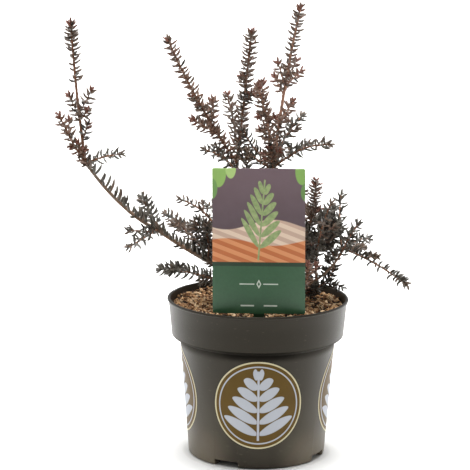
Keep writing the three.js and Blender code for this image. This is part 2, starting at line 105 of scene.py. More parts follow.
class PotSettings(bpy.types.PropertyGroup):
    """The nursery pot."""

    height: FloatProperty(
        name="Height", description="From the underside to the lip", default=POT_HIGH.z, unit="LENGTH"
    )
    lip_radius: FloatProperty(
        name="Lip radius", description="Outer radius of the thin lip", default=POT_HIGH.x, unit="LENGTH"
    )
    band_height: FloatProperty(
        name="Band height", description="Height of the wide rim band", default=0.038, unit="LENGTH"
    )
    wall: FloatProperty(
        name="Wall", description="Thickness of the moulded wall", default=0.0019, unit="LENGTH"
    )
    plastic: FloatVectorProperty(
        name="Plastic", description="Colour of the pot", default=tint(26, 22, 15), subtype="COLOR"
    )
    # Pale colour that the scuffs wear to, and that lightens the lower body as a painted reflection of the
    # floor.
    dust: FloatVectorProperty(
        name="Dust", description="Potting dust that dulls the foot", default=tint(150, 138, 118),
        subtype="COLOR",
    )
    decal_radius: FloatProperty(
        name="Print radius", description="Radius of each round print", default=0.0471, unit="LENGTH"
    )
    decal_height: FloatProperty(
        name="Print height", description="Middle of the prints above the underside", default=0.0695,
        unit="LENGTH",
    )
    decal_field: FloatVectorProperty(
        name="Print field", description="Ground colour of the prints", default=tint(92, 68, 4),
        subtype="COLOR",
    )
    decal_ink: FloatVectorProperty(
        name="Print ink", description="Pale ink of the sprig", default=tint(186, 190, 198),
        subtype="COLOR",
    )
    decal_ring: FloatVectorProperty(
        name="Print ring", description="Ink of the ring", default=tint(205, 196, 160), subtype="COLOR"
    )


class MulchSettings(bpy.types.PropertyGroup):
    """The bark mulch."""

    chips: IntProperty(name="Chips", description="How many chips lie on the bed", default=3400, min=0)
    chip_length: FloatProperty(
        name="Chip length", description="Usual length of a chip", default=0.0062, unit="LENGTH"
    )
    bed: FloatVectorProperty(
        name="Bed", description="Colour under the chips", default=tint(30, 20, 12), subtype="COLOR"
    )


class LabelSettings(bpy.types.PropertyGroup):
    """The plant label."""

    panel: FloatVectorProperty(
        name="Panel", description="Green of the lower panel", default=tint(52, 90, 60), subtype="COLOR"
    )
    ground: FloatVectorProperty(
        name="Ground", description="Plum ground of the upper panel", default=tint(106, 88, 92),
        subtype="COLOR",
    )
    panel_share: FloatProperty(
        name="Panel share", description="Share of the card's height that the panel takes",
        default=0.357, subtype="FACTOR", min=0, max=1,
    )


class WoodSettings(bpy.types.PropertyGroup):
    """Trunk, boughs and twigs."""

    relief: FloatProperty(
        name="Bark relief", description="Depth of the bark's ridges", default=0.0005, unit="LENGTH"
    )
    grain: FloatProperty(
        name="Mesh grain", description="Size of the bark mesh's faces", default=0.0006, unit="LENGTH"
    )
    bark: FloatVectorProperty(
        name="Bark", description="Colour of trunk and boughs", default=tint(120, 95, 77), subtype="COLOR"
    )
    twig_brown: FloatVectorProperty(
        name="Brown twigs", description="Older twigs", default=tint(128, 88, 64), subtype="COLOR"
    )
    twig_rose: FloatVectorProperty(
        name="Rosy twigs", description="Twigs of the last year", default=tint(178, 132, 108),
        subtype="COLOR",
    )
    twig_russet: FloatVectorProperty(
        name="Russet twigs", description="Soft ends of the twigs", default=tint(104, 70, 54),
        subtype="COLOR",
    )


class LeafSettings(bpy.types.PropertyGroup):
    """The leaves."""

    length: FloatProperty(
        name="Length", description="Usual length of a leaf", default=0.0102, unit="LENGTH"
    )
    width: FloatProperty(
        name="Width", description="Greatest width of a leaf", default=0.0026, unit="LENGTH"
    )
    thickness: FloatProperty(
        name="Thickness", description="Thickness of a leaf", default=0.0023, unit="LENGTH"
    )
    pitch: FloatProperty(
        name="Pitch", description="Twig length between one leaf and the next", default=0.002,
        unit="LENGTH",
    )
    opening: FloatProperty(
        name="Opening", description="Angle between a full-grown leaf's foot and its twig",
        default=math.radians(86), subtype="ANGLE",
    )
    hook: FloatProperty(
        name="Hook", description="How far a leaf bends towards its twig's tip",
        default=math.radians(56), subtype="ANGLE",
    )
    twist: FloatProperty(
        name="Twist", description="Most that a leaf turns about its own length",
        default=math.radians(30), subtype="ANGLE",
    )


class StageSettings(bpy.types.PropertyGroup):
    """Floor, light and camera."""

    floor: FloatVectorProperty(
        name="Floor", description="Colour of the floor", default=(0.9, 0.9, 0.89), subtype="COLOR"
    )
    camera_distance: FloatProperty(
        name="Camera distance", description="From the pot's axis, level", default=2.1453, unit="LENGTH"
    )
    camera_height: FloatProperty(
        name="Camera height", description="Above the floor", default=0.6534, unit="LENGTH"
    )
    camera_pitch: FloatProperty(
        name="Camera pitch", description="Down from the level", default=math.radians(11.114),
        subtype="ANGLE",
    )
    camera_yaw: FloatProperty(
        name="Camera yaw", description="To the left", default=math.radians(0.657), subtype="ANGLE"
    )
    camera_roll: FloatProperty(
        name="Camera roll", description="Anticlockwise", default=math.radians(0.5), subtype="ANGLE"
    )
    lens: FloatProperty(
        name="Lens", description="Focal length in millimetres on a 36 mm sensor", default=160.47
    )


# ---- Shaders as expressions -----------------------------------------------------------------


class Signal:
    """A shader socket in Python arithmetic: each step adds a Math node."""

    def __init__(self, finish, socket):
        self.finish = finish
        self.socket = socket

    def __add__(self, other):
        return self.finish.math("ADD", self, other)

    def __radd__(self, other):
        return self.finish.math("ADD", other, self)

    def __sub__(self, other):
        return self.finish.math("SUBTRACT", self, other)

    def __rsub__(self, other):
        return self.finish.math("SUBTRACT", other, self)

    def __mul__(self, other):
        return self.finish.math("MULTIPLY", self, other)

    def __rmul__(self, other):
        return self.finish.math("MULTIPLY", other, self)

    def __truediv__(self, other):
        return self.finish.math("DIVIDE", self, other)


class Finish:
    """A node material that is written as expressions on Signals."""

    def __init__(self, name):
        self.material = bpy.data.materials.new(name)
        self.material.use_nodes = True
        self.tree = self.material.node_tree
        self.tree.nodes.clear()

    def node(self, kind, settings=None, **values):
        """Adds a node: its settings first, then each socket's value or link. A key such as
        i0 stands for a socket's number, and any other for its name, with _ for a blank."""
        made = self.tree.nodes.new("ShaderNode" + kind)
        for key, value in (settings or {}).items():
            setattr(made, key, value)
        for key, value in values.items():
            if key[0] == "i" and key[1:].isdigit():
                socket = made.inputs[int(key[1:])]
            else:
                socket = made.inputs[key.replace("_", " ")]
            self.feed(socket, value)
        return made

    def feed(self, socket, value):
        if isinstance(value, Signal):
            value = value.socket
        if isinstance(value, bpy.types.NodeSocket):
            self.tree.links.new(value, socket)
        elif hasattr(value, "__len__") and len(value) == 3 and socket.type == "RGBA":
            socket.default_value = (*value, 1)
        else:
            socket.default_value = value

    def math(self, operation, *values):
        inputs = {"i" + str(i): value for i, value in enumerate(values)}
        return Signal(self, self.node("Math", {"operation": operation}, **inputs).outputs[0])

    def largest(self, *values):
        result = values[0]
        for value in values[1:]:
            result = self.math("MAXIMUM", result, value)
        return result

    def step(self, value, low, high):
        """0 below low and 1 above high, with a soft edge between. low above high turns it round."""
        settings = {"interpolation_type": "SMOOTHSTEP"}
        if low < high:
            made = self.node("MapRange", settings, Value=value, From_Min=low, From_Max=high)
            return Signal(self, made.outputs[0])
        made = self.node("MapRange", settings, Value=value, From_Min=high, From_Max=low)
        return 1 - Signal(self, made.outputs[0])

    def split(self, vector):
        made = self.node("SeparateXYZ", Vector=vector)
        return [Signal(self, output) for output in made.outputs]

    def object_place(self):
        return self.node("TexCoord").outputs["Object"]

    def print_place(self):
        return self.node("UVMap", {"uv_map": "print"}).outputs[0]

    def noise(self, scale, detail=3.0, stretch=None):
        place = self.object_place()
        if stretch:
            place = self.node("Mapping", Vector=place, Scale=stretch).outputs[0]
        made = self.node("TexNoise", Vector=place, Scale=scale, Detail=detail)
        return Signal(self, made.outputs[0])

    def cells(self, scale):
        made = self.node("TexVoronoi", Vector=self.object_place(), Scale=scale)
        return Signal(self, made.outputs["Distance"])

    def blend(self, share, low, high):
        """Two colours, mixed by a share."""
        made = self.node("Mix", {"data_type": "RGBA"})
        self.feed(made.inputs[0], share)
        self.feed(made.inputs[6], low)
        self.feed(made.inputs[7], high)
        return made.outputs[2]

    def surface(self, color, roughness, height=None, depth=0.0002, **fixed):
        """Ends the material: a Principled shader with what changes over it, and fixed values."""
        shader = self.node("BsdfPrincipled", Base_Color=color, Roughness=roughness, **fixed)
        if height is not None:
            bump = self.node("Bump", Height=height, Distance=depth, Strength=1.0)
            self.feed(shader.inputs["Normal"], bump.outputs[0])
        output = self.node("OutputMaterial")
        self.tree.links.new(shader.outputs[0], output.inputs[0])
        return self.material


def dimmed(color, share):
    return tuple(value * share for value in color)


# ---- Modelling helpers ----------------------------------------------------------------------


def clear_selection():
    if bpy.context.object and bpy.context.object.mode != "OBJECT":
        bpy.ops.object.mode_set(mode="OBJECT")
    bpy.ops.object.select_all(action="DESELECT")


def take(piece):
    """Makes a piece the only one that operators act on."""
    clear_selection()
    piece.select_set(True)
    bpy.context.view_layer.objects.active = piece
    return piece


def started(name):
    """Names the primitive that was just added and moves its place into its mesh."""
    piece = bpy.context.object
    piece.name = name
    piece.data.name = name
    bpy.ops.object.transform_apply(location=True, rotation=True, scale=True)
    return piece


@contextmanager
def editing(piece, everything=True):
    take(piece)
    bpy.ops.object.mode_set(mode="EDIT")
    bpy.ops.mesh.select_all(action="SELECT" if everything else "DESELECT")
    yield
    bpy.ops.object.mode_set(mode="OBJECT")


def select_edges(piece, wanted):
    """In edit mode, selects the edges whose middle passes the test, and nothing else."""
    bpy.ops.mesh.select_all(action="DESELECT")
    bpy.ops.mesh.select_mode(type="EDGE")
    shape = bmesh.from_edit_mesh(piece.data)
    for edge in shape.edges:
        middle = (edge.verts[0].co + edge.verts[1].co) / 2
        edge.select = wanted(middle)
    bmesh.update_edit_mesh(piece.data)


def select_points(piece, wanted):
    bpy.ops.mesh.select_all(action="DESELECT")
    bpy.ops.mesh.select_mode(type="VERT")
    shape = bmesh.from_edit_mesh(piece.data)
    for point in shape.verts:
        point.select = wanted(point.co)
    bmesh.update_edit_mesh(piece.data)


def modified(piece, kind, **settings):
    """Adds a modifier and applies it."""
    take(piece)
    modifier = piece.modifiers.new(kind.title(), kind)
    for key, value in settings.items():
        setattr(modifier, key, value)
    bpy.ops.object.modifier_apply(modifier=modifier.name)


def smoothed(piece, angle):
    take(piece)
    bpy.ops.object.shade_smooth_by_angle(angle=math.radians(angle))


def joined(pieces, name):
    clear_selection()
    for piece in pieces:
        piece.select_set(True)
    bpy.context.view_layer.objects.active = pieces[0]
    bpy.ops.object.join()
    pieces[0].name = name
    pieces[0].data.name = name
    return pieces[0]


def turned(name, outline, sides):
    """A solid of revolution: a disc, extruded and resized along an outline of (radius, height)
    in millimetres, from the middle of one end to the middle of the other."""
    clear_selection()
    radius, height = outline[0]
    bpy.ops.mesh.primitive_circle_add(
        vertices=sides, radius=radius * MM, location=(0, 0, height * MM), fill_type="NGON"
    )
    piece = started(name)
    with editing(piece):
        for next_radius, next_height in outline[1:]:
            move = {"value": (0, 0, (next_height - height) * MM)}
            bpy.ops.mesh.extrude_region_move(TRANSFORM_OT_translate=move)
            grow = next_radius / radius
            bpy.ops.transform.resize(value=(grow, grow, 1), center_override=(0, 0, height * MM))
            radius, height = next_radius, next_height
        bpy.ops.mesh.select_all(action="SELECT")
        bpy.ops.mesh.normals_make_consistent(inside=False)
    return piece


def arc(centre, radius, first, last, steps):
    """Points of an arc in an outline, its angles in degrees from outwards to up."""
    angles = [math.radians(mix(first, last, i / steps)) for i in range(steps + 1)]
    return [(centre[0] + radius * math.cos(a), centre[1] + radius * math.sin(a)) for a in angles]


def handed_over(piece, slot, material, *nodes):
    """Gives a finished piece its finish and body, and hides the solids that it stands for."""
    piece.data.materials.clear()
    piece.data.materials.append(material)
    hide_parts(*nodes)
    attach(piece, BODY)
    return piece


def made_of(name, points, faces):
    """A piece from points in millimetres and faces."""
    data = bpy.data.meshes.new(name)
    data.from_pydata(points * MM, [], faces)
    data.validate()
    piece = bpy.data.objects.new(name, data)
    bpy.context.scene.collection.objects.link(piece)
    return take(piece)


class Heap:
    """Small closed shapes, gathered as arrays and joined into one mesh."""

    def __init__(self):
        self.points = []
        self.faces = []
        self.count = 0

    def add(self, points, faces):
        self.points.append(np.asarray(points, float))
        self.faces += [tuple(i + self.count for i in face) for face in faces]
        self.count += len(points)

    def mesh(self, name, smooth=True):
        piece = made_of(name, np.concatenate(self.points), self.faces)
        if smooth:
            bpy.ops.object.shade_smooth()
        return piece


# ---- Growth: the rule of the solids, carried to finer twigs ------------------------------------

SOIL_LEVEL = 157
SOIL_EDGE = 155.5
SOIL_RADIUS = 91
RIPPLE = 1.6
TRUNK_FOOT = (-8, 5, SOIL_LEVEL - 2)
TRUNK_TIP = (-11, 6, 192)
TRUNK_RADII = (5.4, 4.2)
TRUNK_FLARE = 3.8
TRUNK_FLARE_HEIGHT = 0.14

# Each bough leaves the limb `on` at the fraction `at` of its length and runs to its tip in a
# curve whose middle stands `bow` off the straight line. `radii` are those of its base and tip.
BOUGHS = [
    dict(name="left_bough", on="trunk", at=0.75, tip=(-108, 22, 233), bow=(0, 0, -3.5), radii=(2.7, 2)),
    dict(name="left_arm", on="left_bough", at=1, tip=(-183, 33, 301), bow=(0, 0, -8.5), radii=(2.2, 1.7)),
    dict(name="left_leader", on="trunk", at=1, tip=(-22, 16, 318), bow=(-6, 0, 0), radii=(3, 1.9)),
    dict(name="right_leader", on="trunk", at=0.85, tip=(15, 4, 308), bow=(9, 3, -3), radii=(3, 1.9)),
    dict(name="right_bough", on="trunk", at=0.55, tip=(89, -8, 220), bow=(9, 0, -19), radii=(1.9, 1.2)),
    dict(name="right_riser", on="trunk", at=0.9, tip=(54, 28, 236), bow=(6, 4, -6), radii=(2.4, 1.7)),
    dict(name="back_bough", on="trunk", at=0.8, tip=(6, 66, 226), bow=(2, 4, -9), radii=(2.6, 1.8)),
    dict(name="back_left_bough", on="left_bough", at=0.22, tip=(-47, 46, 233), bow=(-4, 3, -3),
         radii=(2.1, 1.5)),
    dict(name="front_bough", on="trunk", at=0.7, tip=(0, -34, 212), bow=(0, -5, -8), radii=(2.2, 1.6)),
]

# Each mass has one stem that leaves a bough, side twigs as (along the stem, tip), and spurs that
# a seeded rule spreads along the stem. A mass with a `fringe` has its leaves on that stretch of
# the bough itself. `fine` adds a number of finer spurs to each shoot for every 100 mm, `stout` and
# `wood` are the stem's relative thickness and its colour, and `bare` its share without growth,
# which is leafy after all if the mass is `skirted`. `tone` names the mixture of leaf colours.
# `dense`, `leaf`, `bold`, `hook` and `lift` are the leaves' relative number, length, breadth,
# bend and rise. `sides` is how dense the side shoots are beside the stem, `tuft` how long its
# crowded tip is, and `thin` a stretch of it as (from, to, share of the leaves that are missing).
MASSES = [
    dict(name="left_tall", on="left_arm", at=1, tip=(-200, 52, 453), bow=(-1.6, 1, 0),
         twigs=[(0.35, (-174, 38, 383)), (0.31, (-204, 56, 375)), (0.3, (-177, 28, 362)),
                (0.16, (-179, 34, 349))],
         dense=1.8, tone="tipped", leaf=0.95, stout=1.35, bare=0.58, sides=0.75, tuft=25, bold=1.15,
         thin=(0.62, 0.86, 0.55), hook=0.65),
    dict(name="left_short", on="left_arm", at=0.97, tip=(-211, 10, 360), bow=(-1, 0, -2), spurs=1,
         dense=1.5, tone="brown", leaf=0.85, sides=0.8, bold=1.1),
    dict(name="left_side", on="left_arm", at=1, tip=(-139, 6, 317), bow=(0, 2, 1),
         dense=1.1, tone="slate"),
    dict(name="left_fringe", on="left_arm", fringe=(0.04, 0.98), dense=1.0, tone="slate", leaf=1.35,
         hook=0.5, bold=1.35),
    dict(name="left_stub", on="left_bough", at=0.97, tip=(-127, 66, 264), bow=(0, 2, 0),
         dense=2.1, tone="slate", leaf=1.1, bold=1.1, hook=0.8),
    dict(name="left_low", on="left_bough", at=0.99, tip=(-136, -36, 223), bow=(0, 0, 0),
         twigs=[(0.1, (-141, -4, 236))], dense=1.0, tone="slate", bold=1.05),
    dict(name="left_upper", on="left_bough", at=0.35, tip=(-104, 72, 244), bow=(0, -5, 6), spurs=3,
         dense=1.8, tone="dusk"),
    dict(name="left_mid", on="back_left_bough", at=1, tip=(-91, 70, 260), bow=(3, 0, 4), spurs=1,
         dense=1.0, tone="slate", leaf=0.85),
    dict(name="left_heart", on="left_bough", at=0.42, tip=(-57, 4, 251), bow=(2, -2, 0), spurs=5,
         dense=1.7, tone="slate", fine=5),
    dict(name="left_ground", on="trunk", at=0.3, tip=(-105, -44, 206), bow=(0, 0, 6), spurs=2,
         bare=0.3, dense=1.65, tone="dark", leaf=1.1, fine=3, bold=1.1, hook=0.7),
    dict(name="left_back", on="back_left_bough", at=0.85, tip=(-42, 112, 262), bow=(0, 4, 6), spurs=3,
         dense=1.3, tone="slate"),
    dict(name="far_left", on="left_leader", at=0.9, tip=(-96, -42, 445), bow=(-5, 0, 1),
         twigs=[(0.34, (-49, 22, 376)), (0.25, (-72, -28, 359)), (0.44, (-74, -2, 382))],
         dense=1.9, tone="brown", leaf=0.9, stout=1.2, bold=1.1, hook=0.6),
    dict(name="upper_short", on="left_leader", at=0.96, tip=(-36, 72, 375), bow=(2, 0, -2),
         dense=1.6, tone="brown", leaf=1.05),
    dict(name="centre", on="left_leader", at=1, tip=(-9, 62, 444), bow=(0, -2, 0),
         twigs=[(0.42, (-3, 22, 382)), (0.55, (-21, 50, 397))], dense=2.3, tone="brown", leaf=1.0,
         stout=1.3, bold=1.05, hook=0.65),
    dict(name="upper_low", on="left_leader", at=0.84, tip=(-60, -34, 329), bow=(0, 0, 4),
         twigs=[(0.4, (-46, 12, 322))], spurs=1, dense=1.0, tone="dusk", leaf=0.9),
    dict(name="middle", on="right_leader", at=0.98, tip=(-3, -60, 400), bow=(1.5, 0, 1), spurs=4,
         spur_length=14, dense=2.15, tone="warm", wood="rose", leaf=1.0, hook=0.8),
    dict(name="right_tall", on="right_leader", at=1, tip=(42, 36, 473), bow=(-2, -2, 0),
         twigs=[(0.48, (17, 0, 418)), (0.43, (13, 38, 399)), (0.53, (40, 44, 415)),
                (0.49, (45, -6, 408)), (0.24, (35, -26, 379))],
         dense=1.6, tone="warm", wood="rose", leaf=0.9, stout=1.5, bare=0.44, sides=0.7, tuft=18,
         bold=1.15, thin=(0.3, 0.53, 0.97), skirted=True, hook=0.7),
    dict(name="right_short", on="right_leader", at=1, tip=(48, 62, 354), bow=(-2, 0, 4), spurs=2,
         spur_length=14, dense=1.45, tone="dusk", leaf=0.95),
    dict(name="right_reach", on="right_leader", at=0.96, tip=(75, -46, 337), bow=(0, 0, 7),
         twigs=[(0.45, (54, 4, 331))], spurs=1, dense=1.2, tone="dusk", leaf=0.95),
    dict(name="leader_left", on="left_leader", at=0.45, tip=(-40, -22, 288), bow=(-3, 0, -3), spurs=2,
         dense=1.2, tone="dusk"),
    dict(name="leader_right", on="right_leader", at=0.4, tip=(40, -26, 286), bow=(3, 0, -5), spurs=2,
         dense=1.2, tone="dusk"),
    dict(name="leader_back", on="left_leader", at=0.6, tip=(-12, 74, 300), bow=(0, 4, -6), spurs=3,
         dense=1.2, tone="dusk"),
    dict(name="upright", on="right_riser", at=1, tip=(61, 50, 288), bow=(1, 0, 0), dense=2.7,
         tone="warm", leaf=0.9, twigs=[(0.16, (48, 62, 255)), (0.2, (68, 40, 256))], hook=0.65),
    dict(name="right_thin", on="right_bough", at=0.97, tip=(88, 70, 268), bow=(-2, 3, -2),
         dense=0.8, tone="dark", leaf=1.05, hook=0.55),
    dict(name="right_front", on="right_bough", at=0.62, tip=(75, -36, 279), bow=(-5, -3, 2), spurs=3,
         dense=1.0, tone="dusk", leaf=0.85, bold=1.05),
    dict(name="right_heart", on="right_bough", at=0.88, tip=(68, 4, 251), bow=(-4, 0, 0), spurs=8,
         spur_length=22, dense=1.75, tone="dark", fine=15),
    dict(name="right_back", on="right_bough", at=0.99, tip=(121, 52, 220), bow=(0, 0, 4),
         dense=1.0, tone="dark", leaf=0.9, twigs=[(0.12, (114, 26, 215))]),
    dict(name="right_spray", on="right_bough", at=0.93, tip=(104, -44, 258), bow=(0, 0, 2),
         dense=1.1, tone="dark", leaf=0.9, twigs=[(0.4, (96, -34, 247))]),
    dict(name="right_droop", on="right_bough", at=1, tip=(160, -28, 183), bow=(0, 0, 3.5),
         twigs=[(0.12, (114, 8, 219)), (0.3, (127, -30, 217))], dense=1.6, tone="dusk", leaf=0.85,
         tuft=26, sides=0.95, thin=(0.34, 0.7, 0.55), bold=1.1, lift=2.2),
    dict(name="right_foot", on="trunk", at=0.22, tip=(87, 28, 211), bow=(24, 12, -17), spurs=4,
         bare=0.42, dense=1.4, tone="dark", leaf=0.9, spur_length=14, fine=6, bold=1.05),
    dict(name="label_side", on="front_bough", at=0.4, tip=(54, -77, 219), bow=(17, 5, -20), spurs=2,
         bare=0.35, dense=1.3, tone="brown", leaf=0.85),
    dict(name="back_tall", on="back_bough", at=1, tip=(2, 112, 282), bow=(0, 6, -4), spurs=3,
         dense=1.3, tone="dusk"),
    dict(name="back_right", on="back_bough", at=0.9, tip=(48, 102, 262), bow=(0, 4, 2), spurs=3,
         dense=1.3, tone="dusk"),
    dict(name="back_low", on="back_bough", at=0.7, tip=(16, 128, 206), bow=(0, 0, 8), spurs=3,
         dense=1.3, tone="dusk"),
    dict(name="back_side", on="back_bough", at=0.5, tip=(-36, 104, 204), bow=(0, 0, 6), spurs=2,
         dense=1.3, tone="slate"),
    dict(name="front_left", on="front_bough", at=0.95, tip=(-32, -56, 262), bow=(0, -3, -3), spurs=2,
         dense=1.3, tone="slate"),
    dict(name="front_right", on="front_bough", at=1, tip=(26, -56, 254), bow=(2, -3, 0), spurs=2,
         dense=1.3, tone="dusk"),
    dict(name="left_fork", on="left_arm", at=0.93, tip=(-193, 22, 330), bow=(0, 0, 0), spurs=3,
         spur_length=12, dense=1.4, tone="brown", leaf=0.8),
    dict(name="left_crest", on="left_bough", fringe=(0.28, 1.0), dense=1.8, tone="slate", leaf=1.1,
         hook=0.6, bold=1.2),
    dict(name="cross_high", on="right_leader", at=1, tip=(-21, 12, 346), bow=(-3, 0, -4),
         dense=1.3, tone="dusk", leaf=0.95),
    dict(name="cross_low", on="right_leader", at=0.95, tip=(-18, -6, 326), bow=(0, 0, -3),
         dense=1.3, tone="dusk", leaf=0.95),
    dict(name="leader_tuft", on="left_leader", at=0.95, tip=(-9, -14, 318), bow=(1, 0, -3), spurs=1,
         dense=1.3, tone="dusk", leaf=0.8),
    dict(name="right_crown", on="right_leader", at=0.9, tip=(9, -18, 333), bow=(0, -2, 0), spurs=3,
         spur_length=12, dense=1.4, tone="brown", leaf=0.8),
    dict(name="right_inner", on="right_bough", at=0.55, tip=(51, -6, 235), bow=(-3, -2, 0), spurs=8,
         spur_length=20, dense=1.6, tone="dark", leaf=0.95, fine=8),
]
STEM_RADII = (1.25, 0.8)
TWIG_RADII = (0.8, 0.55)
SPUR_LENGTH = 20
SPUR_ANGLE = math.radians(50)
SPUR_BOW = 0.06
SPUR_FROM = 0.25
SPUR_TO = 0.86
SPUR_SHORTEST = 0.7
SPUR_PLAY = 0.6
LEAF_TURN = math.radians(137.5)
LEAF_CLOSED = math.radians(42)
CLOSING_LENGTH = 8
LEAF_LIFT = 0.6
FRINGE_SPREAD = 0.8
FRINGE_RANK = 4
TIP_LEAF = 0.67
TIP_REACH = 6

# What the finer growth adds.
FINE_LENGTH = 11
FINE_RADII = (0.6, 0.45)
FINE_FROM = 0.15
FINE_TO = 0.9
CROWDING = 0.39
CLOSEST = 0.58
END_HOOK = 0.35
ANGLE_PLAY = math.radians(9)
LENGTH_PLAY = 0.13
FRINGE_PLAY = 0.4
PITCH_UNEVEN = 0.15
FRINGE_UNEVEN = 0.85
FRINGE_LEAST = 0.4
FRINGE_UNDER = 0.16
LEAF_LOSS = 0.06
SPUR_SHARE = 0.75
TUFT_LENGTH = 10
HOOK_PLAY = math.radians(22)
TWIST_LEAST = 0.3
LEAF_ROOM = 0.4
TWIG_SIDES = 8
TWIG_RING = 1.8
UP = Vector((0, 0, 1))
ALONG_X = Vector((1, 0, 0))
MASK = 0xFFFFFFFF


def numbers(seed):
    """A seeded row of numbers from 0 to 1: the one that the solids grow by."""
    state = seed

    def draw():
        nonlocal state
        state = (state + 0x6D2B79F5) & MASK
        mixed = ((state ^ (state >> 15)) * (state | 1)) & MASK
        mixed ^= (mixed + (mixed ^ (mixed >> 7)) * (mixed | 61)) & MASK
        return (mixed ^ (mixed >> 14)) / 4294967296

    return draw


class Line:
    """A limb's centre line: a quadratic curve that is read by fractions of its length."""

    STEPS = 60

    def __init__(self, start, tip, bow=(0, 0, 0), short=0):
        end = Vector(tip)
        self.start = Vector(start)
        self.end = end.lerp(self.start, short / (end - self.start).length)
        self.middle = self.start.lerp(self.end, 0.5) + 2 * Vector(bow)
        points = [self.raw(i / self.STEPS) for i in range(self.STEPS + 1)]
        legs = [(b - a).length for a, b in zip(points, points[1:])]
        self.reached = [0.0, *accumulate(legs)]
        self.length = self.reached[-1]

    def raw(self, t):
        return self.start.lerp(self.middle, t).lerp(self.middle.lerp(self.end, t), t)

    def share(self, along):
        wanted = clamp(along) * self.length
        i = clamp(bisect.bisect_right(self.reached, wanted) - 1, 0, self.STEPS - 1)
        leg = self.reached[i + 1] - self.reached[i]
        return (i + (wanted - self.reached[i]) / leg) / self.STEPS

    def at(self, along):
        return self.raw(self.share(along))

    def part(self, first, last):
        """The line between two fractions of this one."""
        a, b = self.share(first), self.share(last)
        start, end = self.raw(a), self.raw(b)
        corner = self.start.lerp(self.middle, a).lerp(self.middle.lerp(self.end, a), b)
        return Line(start, end, (corner - start.lerp(end, 0.5)) / 2)

    def tangent(self, along):
        t = self.share(along)
        return (self.middle.lerp(self.end, t) - self.start.lerp(self.middle, t)).normalized()


def across(tangent):
    """The two directions across a twig: level, and as far up as the twig allows."""
    level = tangent.cross(ALONG_X if abs(tangent.z) > 0.97 else UP).normalized()
    return level, level.cross(tangent).normalized()


def direction_off(tangent, angle, turn):
    level, upward = across(tangent)
    outward = level * math.cos(turn) + upward * math.sin(turn)
    return tangent * math.cos(angle) + outward * math.sin(angle)


def ripple(x, y):
    """How far the mulch swells or sinks at a place."""
    return RIPPLE * math.sin(x / 9 + 1.3) * math.cos(y / 11 - 0.6)


def mulch_height(x, y):
    crown = mix(SOIL_LEVEL, SOIL_EDGE, clamp(math.hypot(x, y) / SOIL_RADIUS))
    return crown + ripple(x, y)


CARD_LOW = LABEL_LOW / MM
CARD_HIGH = LABEL_HIGH / MM
CARD_FOOT = 166
CARD_CLEAR = 1.0
CHECKED_STEPS = 4
POT_CLEAR = (89.5, 97)
POT_TOP = POT_HIGH.z / MM


def blocked(first, last, room):
    """Whether the straight piece between two points would touch mulch, pot wall or card."""
    for i in range(CHECKED_STEPS + 1):
        point = first.lerp(last, i / CHECKED_STEPS)
        reach = math.hypot(point.x, point.y)
        if reach < POT_CLEAR[0] and point.z < mulch_height(point.x, point.y) + room:
            return True
        if POT_CLEAR[0] - room < reach < POT_CLEAR[1] and point.z < POT_TOP + room:
            return True
        over_card = CARD_LOW.x - room < point.x < CARD_HIGH.x + room and point.z > CARD_FOOT - room
        over_card = over_card and point.z < CARD_HIGH.z + room
        if over_card and CARD_LOW.y - CARD_CLEAR - room < point.y < CARD_HIGH.y + CARD_CLEAR + room:
            return True
    return False


def grown_limbs():
    limbs = {"trunk": (Line(TRUNK_FOOT, TRUNK_TIP), TRUNK_RADII)}
    for row in BOUGHS:
        parent = limbs[row["on"]][0]
        line = Line(parent.at(row["at"]), row["tip"], row["bow"])
        limbs[row["name"]] = (line, row["radii"])
    return limbs


def shoots_of(mass, seed, limbs):
    """The stem, side twigs, spurs and finer spurs of a mass: (line, radii, bare share, rank)."""
    draw = numbers(seed)
    if mass.get("fringe"):
        line, radii = limbs[mass["on"]]
        return [(line.part(*mass["fringe"]), radii, 0, FRINGE_RANK)]
    bare = mass.get("bare", 0)
    stem = Line(limbs[mass["on"]][0].at(mass["at"]), mass["tip"], mass["bow"], TIP_REACH)
    stem_radii = [radius * mass.get("stout", 1) for radius in STEM_RADII]
    shoots = [(stem, stem_radii, bare, 0)]
    for along, tip in mass.get("twigs", []):
        shoots.append((Line(stem.at(along), tip, (0, 0, 0), TIP_REACH), TWIG_RADII, 0, 1))
    spurs = mass.get("spurs", 0)
    for i in range(spurs):
        along = mix(max(SPUR_FROM, bare), SPUR_TO, (i + draw()) / spurs)
        turn = i * LEAF_TURN + draw()
        length = mass.get("spur_length", SPUR_LENGTH) * (SPUR_SHORTEST + SPUR_PLAY * draw())
        spur = spur_on(stem, along, turn, length)
        if not blocked(spur.start, spur.end, TWIG_RADII[0]):
            shoots.append((spur, TWIG_RADII, 0, 2))
    for line, _, foot, rank in list(shoots):
        fine = round(mass.get("fine", 0) * line.length * (1 - foot) / 100)
        for i in range(fine):
            along = mix(max(FINE_FROM, foot), FINE_TO, (i + draw()) / fine)
            turn = draw() * math.tau
            spur = spur_on(line, along, turn, FINE_LENGTH * (SPUR_SHORTEST + SPUR_PLAY * draw()))
            if not blocked(spur.start, spur.end, FINE_RADII[0]):
                shoots.append((spur, FINE_RADII, 0, 3))
    return shoots


def spur_on(line, along, turn, length):
    root = line.at(along)
    end = root + direction_off(line.tangent(along), SPUR_ANGLE, turn) * length
    return Line(root, end, (0, 0, length * SPUR_BOW))


